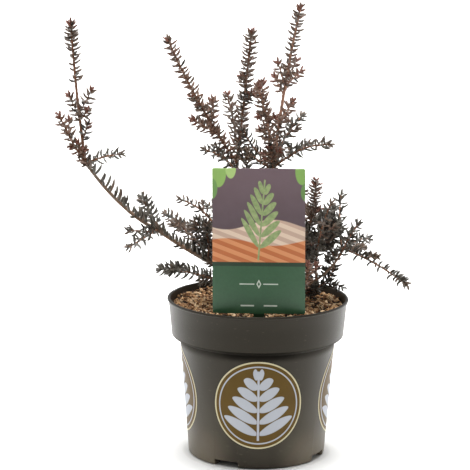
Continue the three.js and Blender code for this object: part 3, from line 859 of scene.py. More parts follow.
# Mixtures of leaf colours, as shares of each tint, and of the tints at the ends of the shoots.
TINTS = {
    "slate": tint(92, 87, 78),
    "coal": tint(60, 54, 46),
    "umber": tint(103, 86, 73),
    "chocolate": tint(124, 97, 82),
    "russet": tint(122, 80, 66),
}
TONES = {
    "slate": [("slate", 0.55), ("coal", 0.32), ("umber", 0.13)],
    "dusk": [("slate", 0.34), ("coal", 0.3), ("umber", 0.36)],
    "dark": [("coal", 0.6), ("slate", 0.34), ("umber", 0.06)],
    "brown": [("umber", 0.5), ("chocolate", 0.38), ("coal", 0.12)],
    "warm": [("umber", 0.32), ("chocolate", 0.6), ("coal", 0.08)],
    "tipped": [("slate", 0.2), ("coal", 0.35), ("umber", 0.45)],
}
END_TINTS = {
    "slate": "umber", "dusk": "umber", "dark": "slate",
    "brown": "russet", "warm": "russet", "tipped": "russet",
}


def picked(shares, value):
    """The entry of a mixture that a number from 0 to 1 falls on."""
    for name, share in shares:
        value -= share
        if value < 0:
            return name
    return shares[-1][0]


class Leaves:
    """Leaves of one tint, gathered as places and sizes, and made into a mesh in one go."""

    # Along the leaf, its share of the width at each station. It ends in a point.
    STATIONS = ((0.0, 0.5), (0.14, 0.8), (0.36, 1.0), (0.62, 0.94), (0.83, 0.62), (1.0, 0.0))
    RIDGE = 0.45
    BENDS_LATE = 1.4
    TWISTED_BY = 0.4
    SMOOTH_BELOW = math.radians(50)

    def __init__(self):
        self.rows = []

    def add(self, root, heading, breadth, length, width, thickness, hook, twist):
        self.rows.append((*root, *heading, *breadth, length, width, thickness, hook, twist))

    def mesh(self, name):
        rows = np.array(self.rows)
        root, heading, breadth = rows[:, 0:3], rows[:, 3:6], rows[:, 6:9]
        tipward = np.cross(heading, breadth)
        length, width, thickness, hook, twist = (rows[:, i : i + 1] for i in range(9, 14))
        points = []
        axis, reached = root, 0
        for along, share in self.STATIONS:
            bent = hook * ((along + reached) / 2) ** self.BENDS_LATE
            axis = axis + (heading * np.cos(bent) + tipward * np.sin(bent)) * length * (along - reached)
            reached = along
            if share == 0:
                points.append(axis)
                continue
            bent = hook * along**self.BENDS_LATE
            normal = tipward * np.cos(bent) - heading * np.sin(bent)
            twisted = twist * min(along / self.TWISTED_BY, 1)
            level = breadth * np.cos(twisted) + normal * np.sin(twisted)
            normal = normal * np.cos(twisted) - breadth * np.sin(twisted)
            side = level * width * share / 2
            ridge = normal * thickness * self.RIDGE * share
            keel = normal * thickness * (1 - self.RIDGE) * share
            points += [axis - side, axis + ridge, axis + side, axis - keel]
        count, each = len(rows), len(points)
        grid = np.stack(points, axis=1).reshape(-1, 3)
        faces = self.faces()
        offsets = range(0, count * each, each)
        piece = made_of(name, grid, [tuple(i + o for i in face) for o in offsets for face in faces])
        bpy.ops.object.shade_smooth_by_angle(angle=self.SMOOTH_BELOW)
        return piece

    def faces(self):
        last = len(self.STATIONS) - 2
        faces = [(0, 1, 2, 3)]
        for i in range(last):
            a, b = 4 * i, 4 * i + 4
            for k in range(4):
                m = (k + 1) % 4
                faces.append((a + k, b + k, b + m, a + m))
        tip = 4 * last + 4
        for k in range(4):
            faces.append((4 * last + k, tip, 4 * last + (k + 1) % 4))
        return faces


def rings_along(line, radius_at, sides, spacing):
    """The rings of a tube along a line, turned with it from end to end."""
    steps = max(3, round(line.length / spacing))
    level, _ = across(line.tangent(0))
    rings = []
    for i in range(steps + 1):
        along = i / steps
        tangent = line.tangent(along)
        level = (level - tangent * level.dot(tangent)).normalized()
        other = tangent.cross(level)
        middle = line.at(along)
        ring = []
        for k in range(sides):
            turn = math.tau * k / sides
            out = level * math.cos(turn) + other * math.sin(turn)
            ring.append(middle + out * radius_at(along, turn))
        rings.append(ring)
    return rings


def tube_of(rings, end_cap):
    """Points and faces of a closed tube over rings, with a point over its end."""
    sides = len(rings[0])
    points = [tuple(p) for ring in rings for p in ring]
    faces = [tuple(range(sides - 1, -1, -1))]
    for i in range(len(rings) - 1):
        for k in range(sides):
            m = (k + 1) % sides
            a, b = i * sides, (i + 1) * sides
            faces.append((a + k, a + m, b + m, b + k))
    last = (len(rings) - 1) * sides
    points.append(tuple(end_cap))
    for k in range(sides):
        faces.append((last + k, last + (k + 1) % sides, len(points) - 1))
    return points, faces


def twig_tube(line, radii):
    def radius_at(along, turn):
        cushions = 1 + 0.1 * math.cos(3 * turn + along * line.length * 1.1)
        closing = 1 - 0.5 * clamp(1 - (1 - along) * line.length / 2)
        return mix(*radii, along) * cushions * closing

    rings = rings_along(line, radius_at, TWIG_SIDES, TWIG_RING)
    cap = line.end + line.tangent(1) * radii[1]
    return tube_of(rings, cap)


def leaves_on(line, bare, rank, mass, settings, draw):
    """Places and shapes of a shoot's leaves, from its tip back to its bare foot."""
    length = settings.length / MM * mass.get("leaf", 1)
    pitch = settings.pitch / MM / mass.get("dense", 1)
    if rank > 0:
        pitch /= mass.get("sides", 1) * (1 if rank == 1 else SPUR_SHARE)
    tuft = mass.get("tuft", TUFT_LENGTH) if rank == 0 else TUFT_LENGTH
    turn = draw() * math.tau
    uneven = FRINGE_UNEVEN if mass.get("fringe") else PITCH_UNEVEN
    thin_from, thin_to, thin_loss = mass.get("thin", (1, 0, 0)) if rank == 0 else (1, 0, 0)
    if rank == 0 and mass.get("skirted"):
        bare = 0
    gone = 0.0
    side = 1
    while gone < line.length * (1 - bare):
        along = 1 - gone / line.length
        closing = clamp(gone / CLOSING_LENGTH)
        crowded = max(pitch * mix(CROWDING, 1, clamp(gone / tuft)), CLOSEST)
        gone += crowded * mix(1 - uneven, 1 + uneven, draw())
        turn += LEAF_TURN
        side = -side
        tangent = line.tangent(along)
        angle = mix(LEAF_CLOSED, settings.opening, closing) + ANGLE_PLAY * (2 * draw() - 1)
        around = turn
        if mass.get("fringe"):
            around = math.pi / 2 + FRINGE_SPREAD * side * (FRINGE_LEAST + draw())
            if draw() < FRINGE_UNDER:
                around -= math.pi
        heading = direction_off(tangent, angle, around)
        heading.z += LEAF_LIFT * mass.get("lift", 1) * closing * (1 - abs(tangent.z))
        heading.normalize()
        play = FRINGE_PLAY if mass.get("fringe") else LENGTH_PLAY
        size = length * mix(TIP_LEAF, 1, closing) * (1 + play * (2 * draw() - 1))
        hook = (settings.hook + HOOK_PLAY * (2 * draw() - 1)) * mix(END_HOOK, 1, closing)
        hook *= mass.get("hook", 1)
        twist = settings.twist * (TWIST_LEAST + 0.7 * draw()) * side
        lost = draw() < (thin_loss if thin_from < along < thin_to else LEAF_LOSS * closing)
        root = line.at(along)
        if lost or blocked(root, root + heading * size, LEAF_ROOM):
            continue
        breadth = tangent.cross(heading).normalized()
        yield root, heading, breadth, size, hook, twist, closing


# ---- Stage ------------------------------------------------------------------------------------

STUDIO_LIGHTS = [
    dict(name="key_light", place=(-0.3, -0.9, 1.9), size=1.1, power=11, spread=180, aim=(0, 0, 0.2)),
    dict(name="rear_ceiling", place=(0, 3.1, 1.8), size=6.6, power=270, spread=50, aim=(0, 3.1, 0)),
]
SKY_FRONT = 0.315
SKY_BACK = 0.6

# The floor glows faintly from just outside the pot's foot, so that the shadow round it is soft.
FLOOR_GLOW = 0.15
FLOOR_CLEAR = (0.074, 0.082)


class PODOCARPUS_OT_stage(bpy.types.Operator):
    """Makes the floor, the studio light and the camera."""

    bl_idname = "podocarpus.stage"
    bl_label = "Stage"

    def execute(self, context):
        settings = context.scene.podocarpus_stage
        context.scene.view_settings.view_transform = "Standard"
        self.floor(settings)
        self.lights(context.scene)
        self.camera(context.scene, settings)
        return {"FINISHED"}

    def floor(self, settings):
        clear_selection()
        bpy.ops.mesh.primitive_plane_add(size=40, location=(0, 0, -0.0004))
        floor = started("floor")
        finish = Finish("studio floor")
        cloud = finish.noise(1.5, 2)
        color = finish.blend(cloud, dimmed(settings.floor, 0.985), settings.floor)
        x, y, _ = finish.split(finish.object_place())
        clear = finish.step(finish.math("SQRT", x * x + y * y), *FLOOR_CLEAR)
        glow = finish.blend(clear, (0, 0, 0), (FLOOR_GLOW, FLOOR_GLOW, FLOOR_GLOW))
        floor.data.materials.append(finish.surface(
            color, 0.9, Specular_IOR_Level=0.2, Emission_Color=glow, Emission_Strength=1.0
        ))
        floor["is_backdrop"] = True

    def lights(self, scene):
        """Soft boxes above, and a white room that is brighter behind the object than before it."""
        world = bpy.data.worlds.new("studio")
        world.use_nodes = True
        nodes, links = world.node_tree.nodes, world.node_tree.links
        place = nodes.new("ShaderNodeTexCoord")
        split = nodes.new("ShaderNodeSeparateXYZ")
        turn = nodes.new("ShaderNodeMapRange")
        turn.interpolation_type = "SMOOTHSTEP"
        ends = {"From Min": -0.3, "From Max": 0.4, "To Min": SKY_FRONT, "To Max": SKY_BACK}
        for name, value in ends.items():
            turn.inputs[name].default_value = value
        sky = nodes["Background"]
        sky.inputs["Color"].default_value = (1, 1, 1, 1)
        links.new(place.outputs["Generated"], split.inputs[0])
        links.new(split.outputs["Y"], turn.inputs["Value"])
        links.new(turn.outputs[0], sky.inputs["Strength"])
        scene.world = world
        for row in STUDIO_LIGHTS:
            clear_selection()
            bpy.ops.object.light_add(type="AREA", location=row["place"])
            lamp = bpy.context.object
            lamp.name = row["name"]
            lamp.data.size = row["size"]
            lamp.data.energy = row["power"]
            lamp.data.spread = math.radians(row["spread"])
            aim = Vector(row["aim"]) - Vector(row["place"])
            lamp.rotation_euler = aim.to_track_quat("-Z", "Y").to_euler()

    def camera(self, scene, settings):
        clear_selection()
        bpy.ops.object.camera_add()
        camera = bpy.context.object
        camera.name = "camera"
        camera.data.lens = settings.lens
        camera.data.sensor_width = 36
        turn = Matrix.Rotation(settings.camera_yaw, 4, "Z")
        turn @= Matrix.Rotation(math.pi / 2 - settings.camera_pitch, 4, "X")
        turn @= Matrix.Rotation(settings.camera_roll, 4, "Z")
        place = Vector((0, -settings.camera_distance, settings.camera_height))
        camera.matrix_world = Matrix.Translation(place) @ turn
        scene.camera = camera


# ---- Pot ----------------------------------------------------------------------------------------

POT_SIDES = 144
PAD_RADIUS = 24
RECESS = 7
POT_FLOOR = 9.2
FOOT_RING_INNER_RADIUS = 59
FOOT_RADIUS = 69.8
BODY_FOOT_RADIUS = 72
BODY_TOP_RADIUS = 81.4
BAND_FOOT_RADIUS = 90.3
BAND_TOP_RADIUS = 93.7
STEP_HEIGHT = 5.5
LIP_HEIGHT = 2.6
# Heights, in metres, of the painted shadow on the body just under the band.
BAND_SHADOW_FOOT = 0.1135
BAND_SHADOW_TOP = 0.1262
NOTCHES = 4
FIRST_NOTCH = math.radians(-26)
NOTCH_SIZE = (0.027, 0.034, 0.0065)


def pot_outline(settings):
    """The pot's outline from the middle of its underside, up its outside and down to its floor."""
    height = settings.height / MM
    lip = settings.lip_radius / MM
    wall = settings.wall / MM
    band_foot = height - settings.band_height / MM
    step_foot = band_foot - STEP_HEIGHT
    lip_foot = height - LIP_HEIGHT
    inner_foot = BODY_FOOT_RADIUS - wall
    return [
        (PAD_RADIUS, 0),
        (PAD_RADIUS + 1, RECESS),
        (FOOT_RING_INNER_RADIUS - 1, RECESS),
        (FOOT_RING_INNER_RADIUS, 0),
        (FOOT_RADIUS, 0),
        *arc((FOOT_RADIUS, 2.2), 2.2, -60, 0, 3),
        (BODY_FOOT_RADIUS + 0.2, 5),
        (mix(BODY_FOOT_RADIUS, BODY_TOP_RADIUS, 0.5), mix(4, step_foot, 0.5)),
        (BODY_TOP_RADIUS, step_foot),
        (BODY_TOP_RADIUS + 1.2, step_foot + 0.9),
        (BAND_FOOT_RADIUS - 1.6, band_foot - 1.9),
        *arc((BAND_FOOT_RADIUS - 1.2, band_foot), 1.2, -50, 5, 3),
        (mix(BAND_FOOT_RADIUS, BAND_TOP_RADIUS, 0.5), mix(band_foot, lip_foot, 0.5)),
        (BAND_TOP_RADIUS, lip_foot - 0.2),
        *arc((lip - 0.7, lip_foot + 0.8), 0.7, -60, 0, 2),
        *arc((lip - 0.9, height - 0.9), 0.9, 0, 90, 4),
        *arc((BAND_TOP_RADIUS - wall + 1, height - 1), 1, 90, 180, 4),
        (BAND_FOOT_RADIUS - wall, band_foot + 0.6),
        (BODY_TOP_RADIUS - wall, step_foot + 1),
        (inner_foot, POT_FLOOR + 2),
        (inner_foot - 3, POT_FLOOR),
    ]


class PODOCARPUS_OT_pot(bpy.types.Operator):
    """Makes the nursery pot with its foot ring, drain notches, band and lip."""

    bl_idname = "podocarpus.pot"
    bl_label = "Pot"

    def execute(self, context):
        settings = context.scene.podocarpus_pot
        pot = turned("pot_shell", pot_outline(settings), POT_SIDES)
        for i in range(NOTCHES):
            self.cut_notch(pot, FIRST_NOTCH + i * math.tau / NOTCHES)
        modified(
            pot, "BEVEL", width=0.0005, segments=2, limit_method="ANGLE",
            angle_limit=math.radians(32), harden_normals=False,
        )
        smoothed(pot, 34)
        handed_over(pot, "pot", self.plastic(settings), "pot")
        return {"FINISHED"}

    def cut_notch(self, pot, angle):
        clear_selection()
        width, depth, height = NOTCH_SIZE
        place = Matrix.Rotation(angle, 3, "Z") @ Vector((0, -FOOT_RADIUS * MM, 0))
        bpy.ops.mesh.primitive_cube_add(
            size=1, location=place, rotation=(0, 0, angle), scale=(width, depth, 2 * height)
        )
        cutter = started("notch_cutter")
        modified(pot, "BOOLEAN", object=cutter, operation="DIFFERENCE", solver="EXACT")
        bpy.data.objects.remove(cutter)

    def plastic(self, settings):
        finish = Finish("moulded pot plastic")
        x, _, z = finish.split(finish.object_place())
        # side is 0 in the middle of the pot's front and 1 towards its left and right edges. It places the
        # painted floor reflection below, and thins the painted shadow under the band.
        side = finish.step(finish.math("ABSOLUTE", x), 0.015, 0.055)
        cloud = finish.noise(22, 4)
        flow = finish.noise(9, 3, stretch=(1, 1, 0.15))
        grain = finish.noise(2600, 2)
        scuffs = finish.step(finish.noise(150, 5, stretch=(1, 1, 3)), 0.64, 0.72)
        # Painted reflection: the body is painted paler towards its foot, mostly at its left and right
        # sides, where the lit floor would be reflected. The scuffs are real wear in the same pale colour.
        dust = finish.step(z, 0.12, -0.01) * 0.8 + finish.step(z, 0.045, 0.0) * 1.3
        dust = dust * (0.12 + side * 0.88)
        # Painted shadow: the body just under the band's overhang is painted near black, a little less
        # towards its left and right sides. There it is also made rougher and partly metallic, so that it
        # reflects less.
        band_shadow = finish.step(z, BAND_SHADOW_FOOT, BAND_SHADOW_TOP - 0.0045)
        band_shadow = band_shadow * finish.step(z, BAND_SHADOW_TOP + 0.0022, BAND_SHADOW_TOP + 0.0012) * (1 - side * 0.45)
        dark, light = dimmed(settings.plastic, 0.86), dimmed(settings.plastic, 1.16)
        color = finish.blend(cloud * 0.6 + flow * 0.4, dark, light)
        color = finish.blend(scuffs * 0.08 + dust * (0.17 + cloud * 0.1), color, settings.dust)
        # Paints the shadow under the band near black.
        color = finish.blend(band_shadow * 0.85, color, (0.002, 0.0015, 0.001))
        roughness = 0.34 + cloud * 0.1 + scuffs * 0.14 + band_shadow * 0.5
        return finish.surface(
            color, roughness, grain * 0.5 + cloud, 0.00008, Metallic=band_shadow * 0.6,
            Specular_IOR_Level=0.38, Specular_Tint=(1, 0.93, 0.8, 1),
        )


# ---- Round prints on the pot -----------------------------------------------------------------


def sprig_mask(finish, u, v, foot, top, reach, pitch, slope, fullness):
    """A sprig that stands along v: a stem with pairs of pointed leaves that get shorter upwards."""
    side = finish.math("ABSOLUTE", u)
    q = (v - side * slope) / pitch
    part = finish.math("FRACT", q) - 0.5
    row = (finish.math("FLOOR", q) + 0.5) * pitch
    height = (row - foot) / (top - foot)
    span = reach * finish.math("POWER", finish.largest(1 - height, 0.02), 0.6)
    share = side / span
    swell = finish.largest(share * (1 - share) * 4, 0)
    edge = finish.math("ABSOLUTE", part) - fullness * finish.math("POWER", swell, 0.7)
    leaf = finish.step(edge, 0.03, -0.03)
    inside = finish.step(height, -0.02, 0.0) * finish.step(height, 1.0, 0.97)
    leaf = leaf * inside * finish.step(share, 1.0, 0.98) * finish.step(share, 0.03, 0.06)
    stem = finish.step(side, 0.03, 0.018) * finish.step(v, foot - 0.12, foot - 0.1)
    stem = stem * finish.step(v, top + 0.05, top + 0.03)
    return finish.largest(leaf, stem)


class PODOCARPUS_OT_prints(bpy.types.Operator):
    """Makes the four round prints on the pot's body: a pale sprig in a ring, on a brown field."""

    bl_idname = "podocarpus.prints"
    bl_label = "Round prints"

    PRINTS = 4
    TURN = math.radians(1.2)
    SIDES = 96
    RINGS = 14
    STANDS_OFF = 0.09
    WRAP_RADIUS = 0.0765
    FILM = 0.00007

    def execute(self, context):
        settings = context.scene.podocarpus_pot
        pot = bpy.data.objects["pot_shell"]
        material = self.ink(settings)
        for i in range(self.PRINTS):
            disc = self.disc(settings, "pot_print_" + str(i + 1))
            modified(
                disc, "SHRINKWRAP", target=pot, wrap_method="PROJECT", use_project_y=True,
                use_positive_direction=True, use_negative_direction=False, offset=self.FILM,
            )
            modified(disc, "SOLIDIFY", thickness=self.FILM, offset=1)
            turn = Matrix.Rotation(self.TURN + i * math.tau / self.PRINTS, 4, "Z")
            disc.data.transform(turn)
            smoothed(disc, 40)
            handed_over(disc, "pot", material, "pot")
        return {"FINISHED"}

    def disc(self, settings, name):
        """An upright disc in front of the pot, in rings, with its flat place as its UV map."""
        clear_selection()
        radius = settings.decal_radius
        middle = Vector((0, -self.STANDS_OFF, settings.decal_height))
        bpy.ops.mesh.primitive_circle_add(
            vertices=self.SIDES, radius=radius, fill_type="NGON", location=middle,
            rotation=(math.pi / 2, 0, 0),
        )
        disc = started(name)
        with editing(disc):
            bpy.ops.mesh.select_mode(type="FACE")
            for _ in range(self.RINGS):
                bpy.ops.mesh.inset(thickness=radius / (self.RINGS + 1), use_boundary=True)
        layer = disc.data.uv_layers.new(name="print")
        for loop in disc.data.loops:
            point = disc.data.vertices[loop.vertex_index].co - middle
            layer.data[loop.index].uv = (point.x / radius, point.z / radius)
        for point in disc.data.vertices:
            point.co.x = self.WRAP_RADIUS * math.sin(point.co.x / self.WRAP_RADIUS)
        return disc

    def ink(self, settings):
        finish = Finish("print on pot")
        u, v, _ = finish.split(finish.print_place())
        reach = finish.math("SQRT", u * u + v * v)
        cloud = finish.noise(60, 3)
        dark, light = dimmed(settings.decal_field, 0.86), dimmed(settings.decal_field, 1.12)
        field = finish.blend(cloud, dark, light)
        sprig = sprig_mask(finish, u, v, -0.7, 0.74, 0.78, 0.27, 0.5, 0.46)
        garland = finish.step(reach, 0.86, 0.87) * finish.step(reach, 0.9, 0.89)
        ink = finish.blend(cloud, dimmed(settings.decal_ink, 0.92), settings.decal_ink)
        color = finish.blend(finish.largest(sprig, garland), field, ink)
        ring = finish.step(reach, 0.962, 0.97)
        color = finish.blend(ring, color, settings.decal_ring)
        return finish.surface(
            color, 0.4 + cloud * 0.1, finish.noise(2600, 2), 0.00004, Specular_IOR_Level=0.25
        )


# ---- Mulch ----------------------------------------------------------------------------------------

BARK_TINTS = [
    ("chips_straw", tint(238, 206, 164), 0.2),
    ("chips_tan", tint(198, 156, 112), 0.29),
    ("chips_brown", tint(140, 101, 66), 0.27),
    ("chips_dark", tint(58, 38, 22), 0.24),
]


class PODOCARPUS_OT_mulch(bpy.types.Operator):
    """Makes the mulch: a rough bed and the loose chips and fibres that lie on it."""

    bl_idname = "podocarpus.mulch"
    bl_label = "Bark mulch"

    SEED = 20
    INNER_RADIUS = 90.2
    TOP_RINGS = 26
    RISE = 2.6
    WALL_GAP = 0.3
    UNDER_CHIPS = 1.5

    # The bed's upper side, in metres: what is above one height and within one radius.
    TOP_ABOVE = 0.1538
    TOP_WITHIN = 0.0905

    # Shares of fibres, and of fibres and flakes together. The rest are crumbs.
    FIBRES = 0.26
    FLAKES = 0.82
    TILT = math.radians(38)

    # Millimetres round the trunk and the label's stake that stay clear of chips.
    TRUNK_ROOM = 9
    STAKE_X = 1
    STAKE_ROOM = (9, 1.5)

    def execute(self, context):
        settings = context.scene.podocarpus_mulch
        self.bed(settings)
        self.chips(settings)
        return {"FINISHED"}

    def bed(self, settings):
        gap = self.WALL_GAP
        wall = bpy.context.scene.podocarpus_pot.wall / MM
        inner_foot = BODY_FOOT_RADIUS - wall - gap
        band_foot = (POT_HIGH.z - bpy.context.scene.podocarpus_pot.band_height) / MM
        edge = self.INNER_RADIUS + 0.9
        outline = [
            (inner_foot - 3, POT_FLOOR + gap),
            (inner_foot, POT_FLOOR + 2 + gap),
            (BODY_TOP_RADIUS - wall - gap, band_foot - STEP_HEIGHT + 1 + gap),
            (BAND_FOOT_RADIUS - wall - gap, band_foot + 0.6 + gap),
        ]
        for i in range(self.TOP_RINGS + 1):
            inward = i / self.TOP_RINGS
            height = mix(SOIL_EDGE, SOIL_LEVEL, inward) + self.RISE * (1 - inward) ** 4
            outline.append((mix(edge, 2, inward), height - self.UNDER_CHIPS))
        bed = turned("mulch_bed", outline, POT_SIDES)
        low, within = self.TOP_ABOVE, self.TOP_WITHIN
        top = [v.index for v in bed.data.vertices if v.co.z > low and v.co.xy.length < within]
        for index in top:
            point = bed.data.vertices[index].co
            point.z += ripple(point.x / MM, point.y / MM) * MM
        group = bed.vertex_groups.new(name="top")
        group.add(top, 1.0, "REPLACE")
        lumps = bpy.data.textures.new("mulch lumps", "CLOUDS")
        lumps.noise_scale = 0.0045
        modified(
            bed, "DISPLACE", texture=lumps, texture_coords="LOCAL", direction="Z", strength=0.0026,
            mid_level=0.5, vertex_group="top",
        )
        smoothed(bed, 60)
        finish = Finish("mulch bed")
        crumbs = finish.cells(900)
        cloud = finish.noise(120, 4)
        color = finish.blend(crumbs, dimmed(settings.bed, 0.5), dimmed(settings.bed, 1.7))
        color = finish.blend(cloud, color, tint(70, 46, 28))
        handed_over(bed, "mulch", finish.surface(color, 0.95, crumbs + cloud, 0.0006), "soil")

    def chips(self, settings):
        random = np.random.default_rng(self.SEED)
        heaps = {name: Heap() for name, _, _ in BARK_TINTS}
        shares = [(name, share) for name, _, share in BARK_TINTS]
        usual = settings.chip_length / MM
        for _ in range(settings.chips):
            reach = self.INNER_RADIUS * math.sqrt(random.random())
            turn = random.random() * math.tau
            kind = random.random()
            if kind < self.FIBRES:
                size = np.array([usual * (1.1 + 1.1 * random.random()), 1.1, 0.7])
            elif kind < self.FLAKES:
                size = usual * np.array([0.7 + 0.7 * random.random(), 0.4 + 0.4 * random.random(), 0.2])
            else:
                size = usual * np.array([0.45, 0.38, 0.3]) * (0.6 + 0.7 * random.random())
            points, faces = self.chip(random, size)
            tilt = self.TILT * random.normal(0, 0.6, 2)
            spin = Matrix.Rotation(random.random() * math.tau, 3, "Z")
            spin = Matrix.Rotation(tilt[0], 3, "X") @ Matrix.Rotation(tilt[1], 3, "Y") @ spin
            points = points @ np.array(spin).T
            far = np.hypot(points[:, 0], points[:, 1]).max()
            reach = min(reach, self.INNER_RADIUS + 0.9 - far)
            x, y = reach * math.cos(turn), reach * math.sin(turn)
            lift = mulch_height(x, y) + self.RISE * (reach / self.INNER_RADIUS) ** 4
            lift += random.random() * 1.8 - 0.4 - points[:, 2].mean()
            name = picked(shares, random.random())
            trunk = math.hypot(x - TRUNK_FOOT[0], y - TRUNK_FOOT[1])
            beside, before = self.STAKE_ROOM
            near_stake = abs(x - self.STAKE_X) < beside + far and abs(y - CARD_LOW.y) < before + far
            if trunk < self.TRUNK_ROOM or near_stake:
                continue
            heaps[name].add(points + np.array([x, y, lift]), faces)
        for name, color, _ in BARK_TINTS:
            piece = heaps[name].mesh(name, smooth=False)
            handed_over(piece, "mulch", self.bark(name, color), "soil")

    def chip(self, random, size):
        """A rough flake: an uneven outline of six corners, thinner at its edge on one side."""
        corners = np.arange(6) / 6 * math.tau + random.normal(0, 0.22, 6)
        outline = np.stack([np.cos(corners), np.sin(corners)], axis=1)
        outline *= (0.85 + 0.3 * random.random(6))[:, None]
        upper = np.column_stack([outline * (0.7 + 0.2 * random.random()), np.full(6, 0.5)])
        lower = np.column_stack([outline, np.full(6, -0.5)])
        points = np.concatenate([upper, lower]) * size / np.array([2, 2, 1])
        points[:, 2] += random.normal(0, 0.09, 12) * size[2]
        points[:, 2] += 0.05 * points[:, 0] ** 2 / max(size[0], 1)
        faces = [tuple(range(6)), tuple(range(11, 5, -1))]
        faces += [(k, 6 + k, 6 + (k + 1) % 6, (k + 1) % 6) for k in range(6)]
        return points, faces

    def bark(self, name, color):
        finish = Finish(name.replace("_", " "))
        fibre = finish.noise(420, 5)
        cloud = finish.noise(90, 2)
        shade = finish.blend(fibre, dimmed(color, 0.55), dimmed(color, 1.35))
        shade = finish.blend(finish.step(cloud, 0.5, 0.75) * 0.5, shade, dimmed(color, 0.5))
        return finish.surface(shade, 0.9, fibre, 0.0003)


# ---- Label ----------------------------------------------------------------------------------------

STAKE_WIDTH = 11
STAKE_POINT = 9
CARD_CENTRE = 1.2
CARD_FOOT_WIDTH = 93.8
CARD_TOP_WIDTH = 93.2
CARD_LEAN = -1.8
CARD_CORNER = 0.0016
CARD_THICKNESS = 0.0007


class PODOCARPUS_OT_label(bpy.types.Operator):
    """Makes the plant label: a printed card on a pointed stake."""

    bl_idname = "podocarpus.label"
    bl_label = "Plant label"

    # In the printed shapes a step of u counts this much beside one of v.
    U_SHARE = 0.61
    RULE_V = 0.205
    BRANCH_SLANT = 0.16

    def execute(self, context):
        settings = context.scene.podocarpus_label
        card = self.card()
        handed_over(card, "label", self.printed(settings), "label")
        return {"FINISHED"}

    def card(self):
        clear_selection()
        height = CARD_HIGH.z - CARD_FOOT
        middle = Vector((CARD_CENTRE, 0, CARD_FOOT + height / 2)) * MM
        middle.y = LABEL_Y
        bpy.ops.mesh.primitive_plane_add(size=1, location=middle, rotation=(math.pi / 2, 0, 0))
        bpy.context.object.scale = (CARD_FOOT_WIDTH * MM, height * MM, 1)
        card = started("plant_label")
        foot, top = CARD_FOOT * MM, CARD_HIGH.z * MM
        half = STAKE_WIDTH / 2 * MM
        with editing(card):
            select_points(card, lambda p: p.z > top - 1e-4)
            grow = CARD_TOP_WIDTH / CARD_FOOT_WIDTH
            bpy.ops.transform.resize(value=(grow, 1, 1), center_override=middle)
            bpy.ops.transform.translate(value=(CARD_LEAN * MM, 0, 0))
            bpy.ops.mesh.select_all(action="SELECT")
            bpy.ops.mesh.bevel(offset=CARD_CORNER, segments=4, affect="VERTICES")
            for side in (-half, half):
                bpy.ops.mesh.select_all(action="SELECT")
                bpy.ops.mesh.bisect(plane_co=(middle.x + side, 0, 0), plane_no=(1, 0, 0))
            select_edges(card, lambda p: p.z < foot + 1e-4 and abs(p.x - middle.x) < half * 0.9)
            reach = CARD_FOOT - CARD_LOW.z - STAKE_POINT
            bpy.ops.mesh.extrude_region_move(TRANSFORM_OT_translate={"value": (0, 0, -reach * MM)})
            bpy.ops.mesh.extrude_region_move(TRANSFORM_OT_translate={"value": (0, 0, -STAKE_POINT * MM)})
            bpy.ops.mesh.merge(type="CENTER")
        modified(card, "SOLIDIFY", thickness=CARD_THICKNESS, offset=0)
        modified(card, "BEVEL", width=0.00015, segments=2, limit_method="ANGLE")
        smoothed(card, 40)
        return card

    def printed(self, settings):
        finish = Finish("printed card")
        x, y, z = finish.split(finish.object_place())
        foot = CARD_FOOT * MM
        height = CARD_HIGH.z * MM - foot
        v = (z - foot) / height
        u = (x - (CARD_CENTRE * MM) - v * CARD_LEAN * MM) / (CARD_FOOT_WIDTH / 2 * MM)
        front = finish.step(y, LABEL_Y + 1e-5, LABEL_Y - 1e-5)
        picture = self.picture(finish, settings, u, v)
        panel = self.panel(finish, settings, u, v)
        upper = finish.step(v, settings.panel_share - 0.002, settings.panel_share + 0.002)
        print_color = finish.blend(upper, panel, picture)
        stake = finish.step(v, 0.0, -0.002)
        print_color = finish.blend(stake, print_color, dimmed(settings.panel, 0.35))
        back = self.back(finish, settings, v)
        back = finish.blend(stake, back, dimmed(settings.panel, 0.35))
        color = finish.blend(front, back, print_color)
        cloud = finish.noise(40, 2)
        return finish.surface(color, 0.32 + cloud * 0.08, cloud, 0.0002)

    def disc_mask(self, finish, u, v, place, radius):
        across_by = (u - place[0]) * self.U_SHARE
        up_by = v - place[1]
        gap = finish.math("SQRT", across_by * across_by + up_by * up_by)
        return finish.step(gap, radius + 0.004, radius - 0.004)

    def picture(self, finish, settings, u, v):
        """The upper panel: a leafy branch over rolling ground, before a plum sky."""
        cloud = finish.noise(55, 4)
        low, high = dimmed(settings.ground, 0.62), dimmed(settings.ground, 1.15)
        sky = finish.blend(finish.step(v, 0.5, 1.0), low, high)
        sky = finish.blend(cloud * 0.4, sky, tint(128, 112, 122))
        for place, radius, color in (
            ((-0.86, 0.97), 0.1, tint(150, 188, 104)), ((-0.6, 1.0), 0.07, tint(176, 206, 128)),
            ((-1.0, 0.86), 0.07, tint(120, 160, 92)), ((0.93, 0.98), 0.09, tint(140, 180, 96)),
            ((1.0, 0.84), 0.06, tint(112, 150, 84)),
        ):
            sky = finish.blend(self.disc_mask(finish, u, v, place, radius), sky, color)
        wave = finish.math("SINE", u * 3.1 + 0.6) * 0.035
        far = finish.step(v - wave, 0.62, 0.612)
        near = finish.step(v + wave * 0.7, 0.5, 0.492)
        stripes = finish.step(finish.math("FRACT", (v + u * 0.12) * 16), 0.45, 0.55)
        hill = finish.blend(stripes, tint(206, 176, 156), tint(232, 208, 186))
        field = finish.blend(stripes, tint(196, 112, 66), tint(222, 150, 100))
        color = finish.blend(far, sky, hill)
        color = finish.blend(near, color, field)
        across_by, up_by = u * self.U_SHARE, v - 0.42
        slant = self.BRANCH_SLANT
        along = up_by * math.cos(slant) + across_by * math.sin(slant)
        beside = across_by * math.cos(slant) - up_by * math.sin(slant)
        branch = sprig_mask(finish, beside * 2.2, along * 2.2, 0.0, 1.08, 0.62, 0.17, 0.6, 0.44)
        green = finish.blend(finish.noise(260, 3), tint(96, 128, 78), tint(188, 200, 142))
        return finish.blend(branch, color, green)

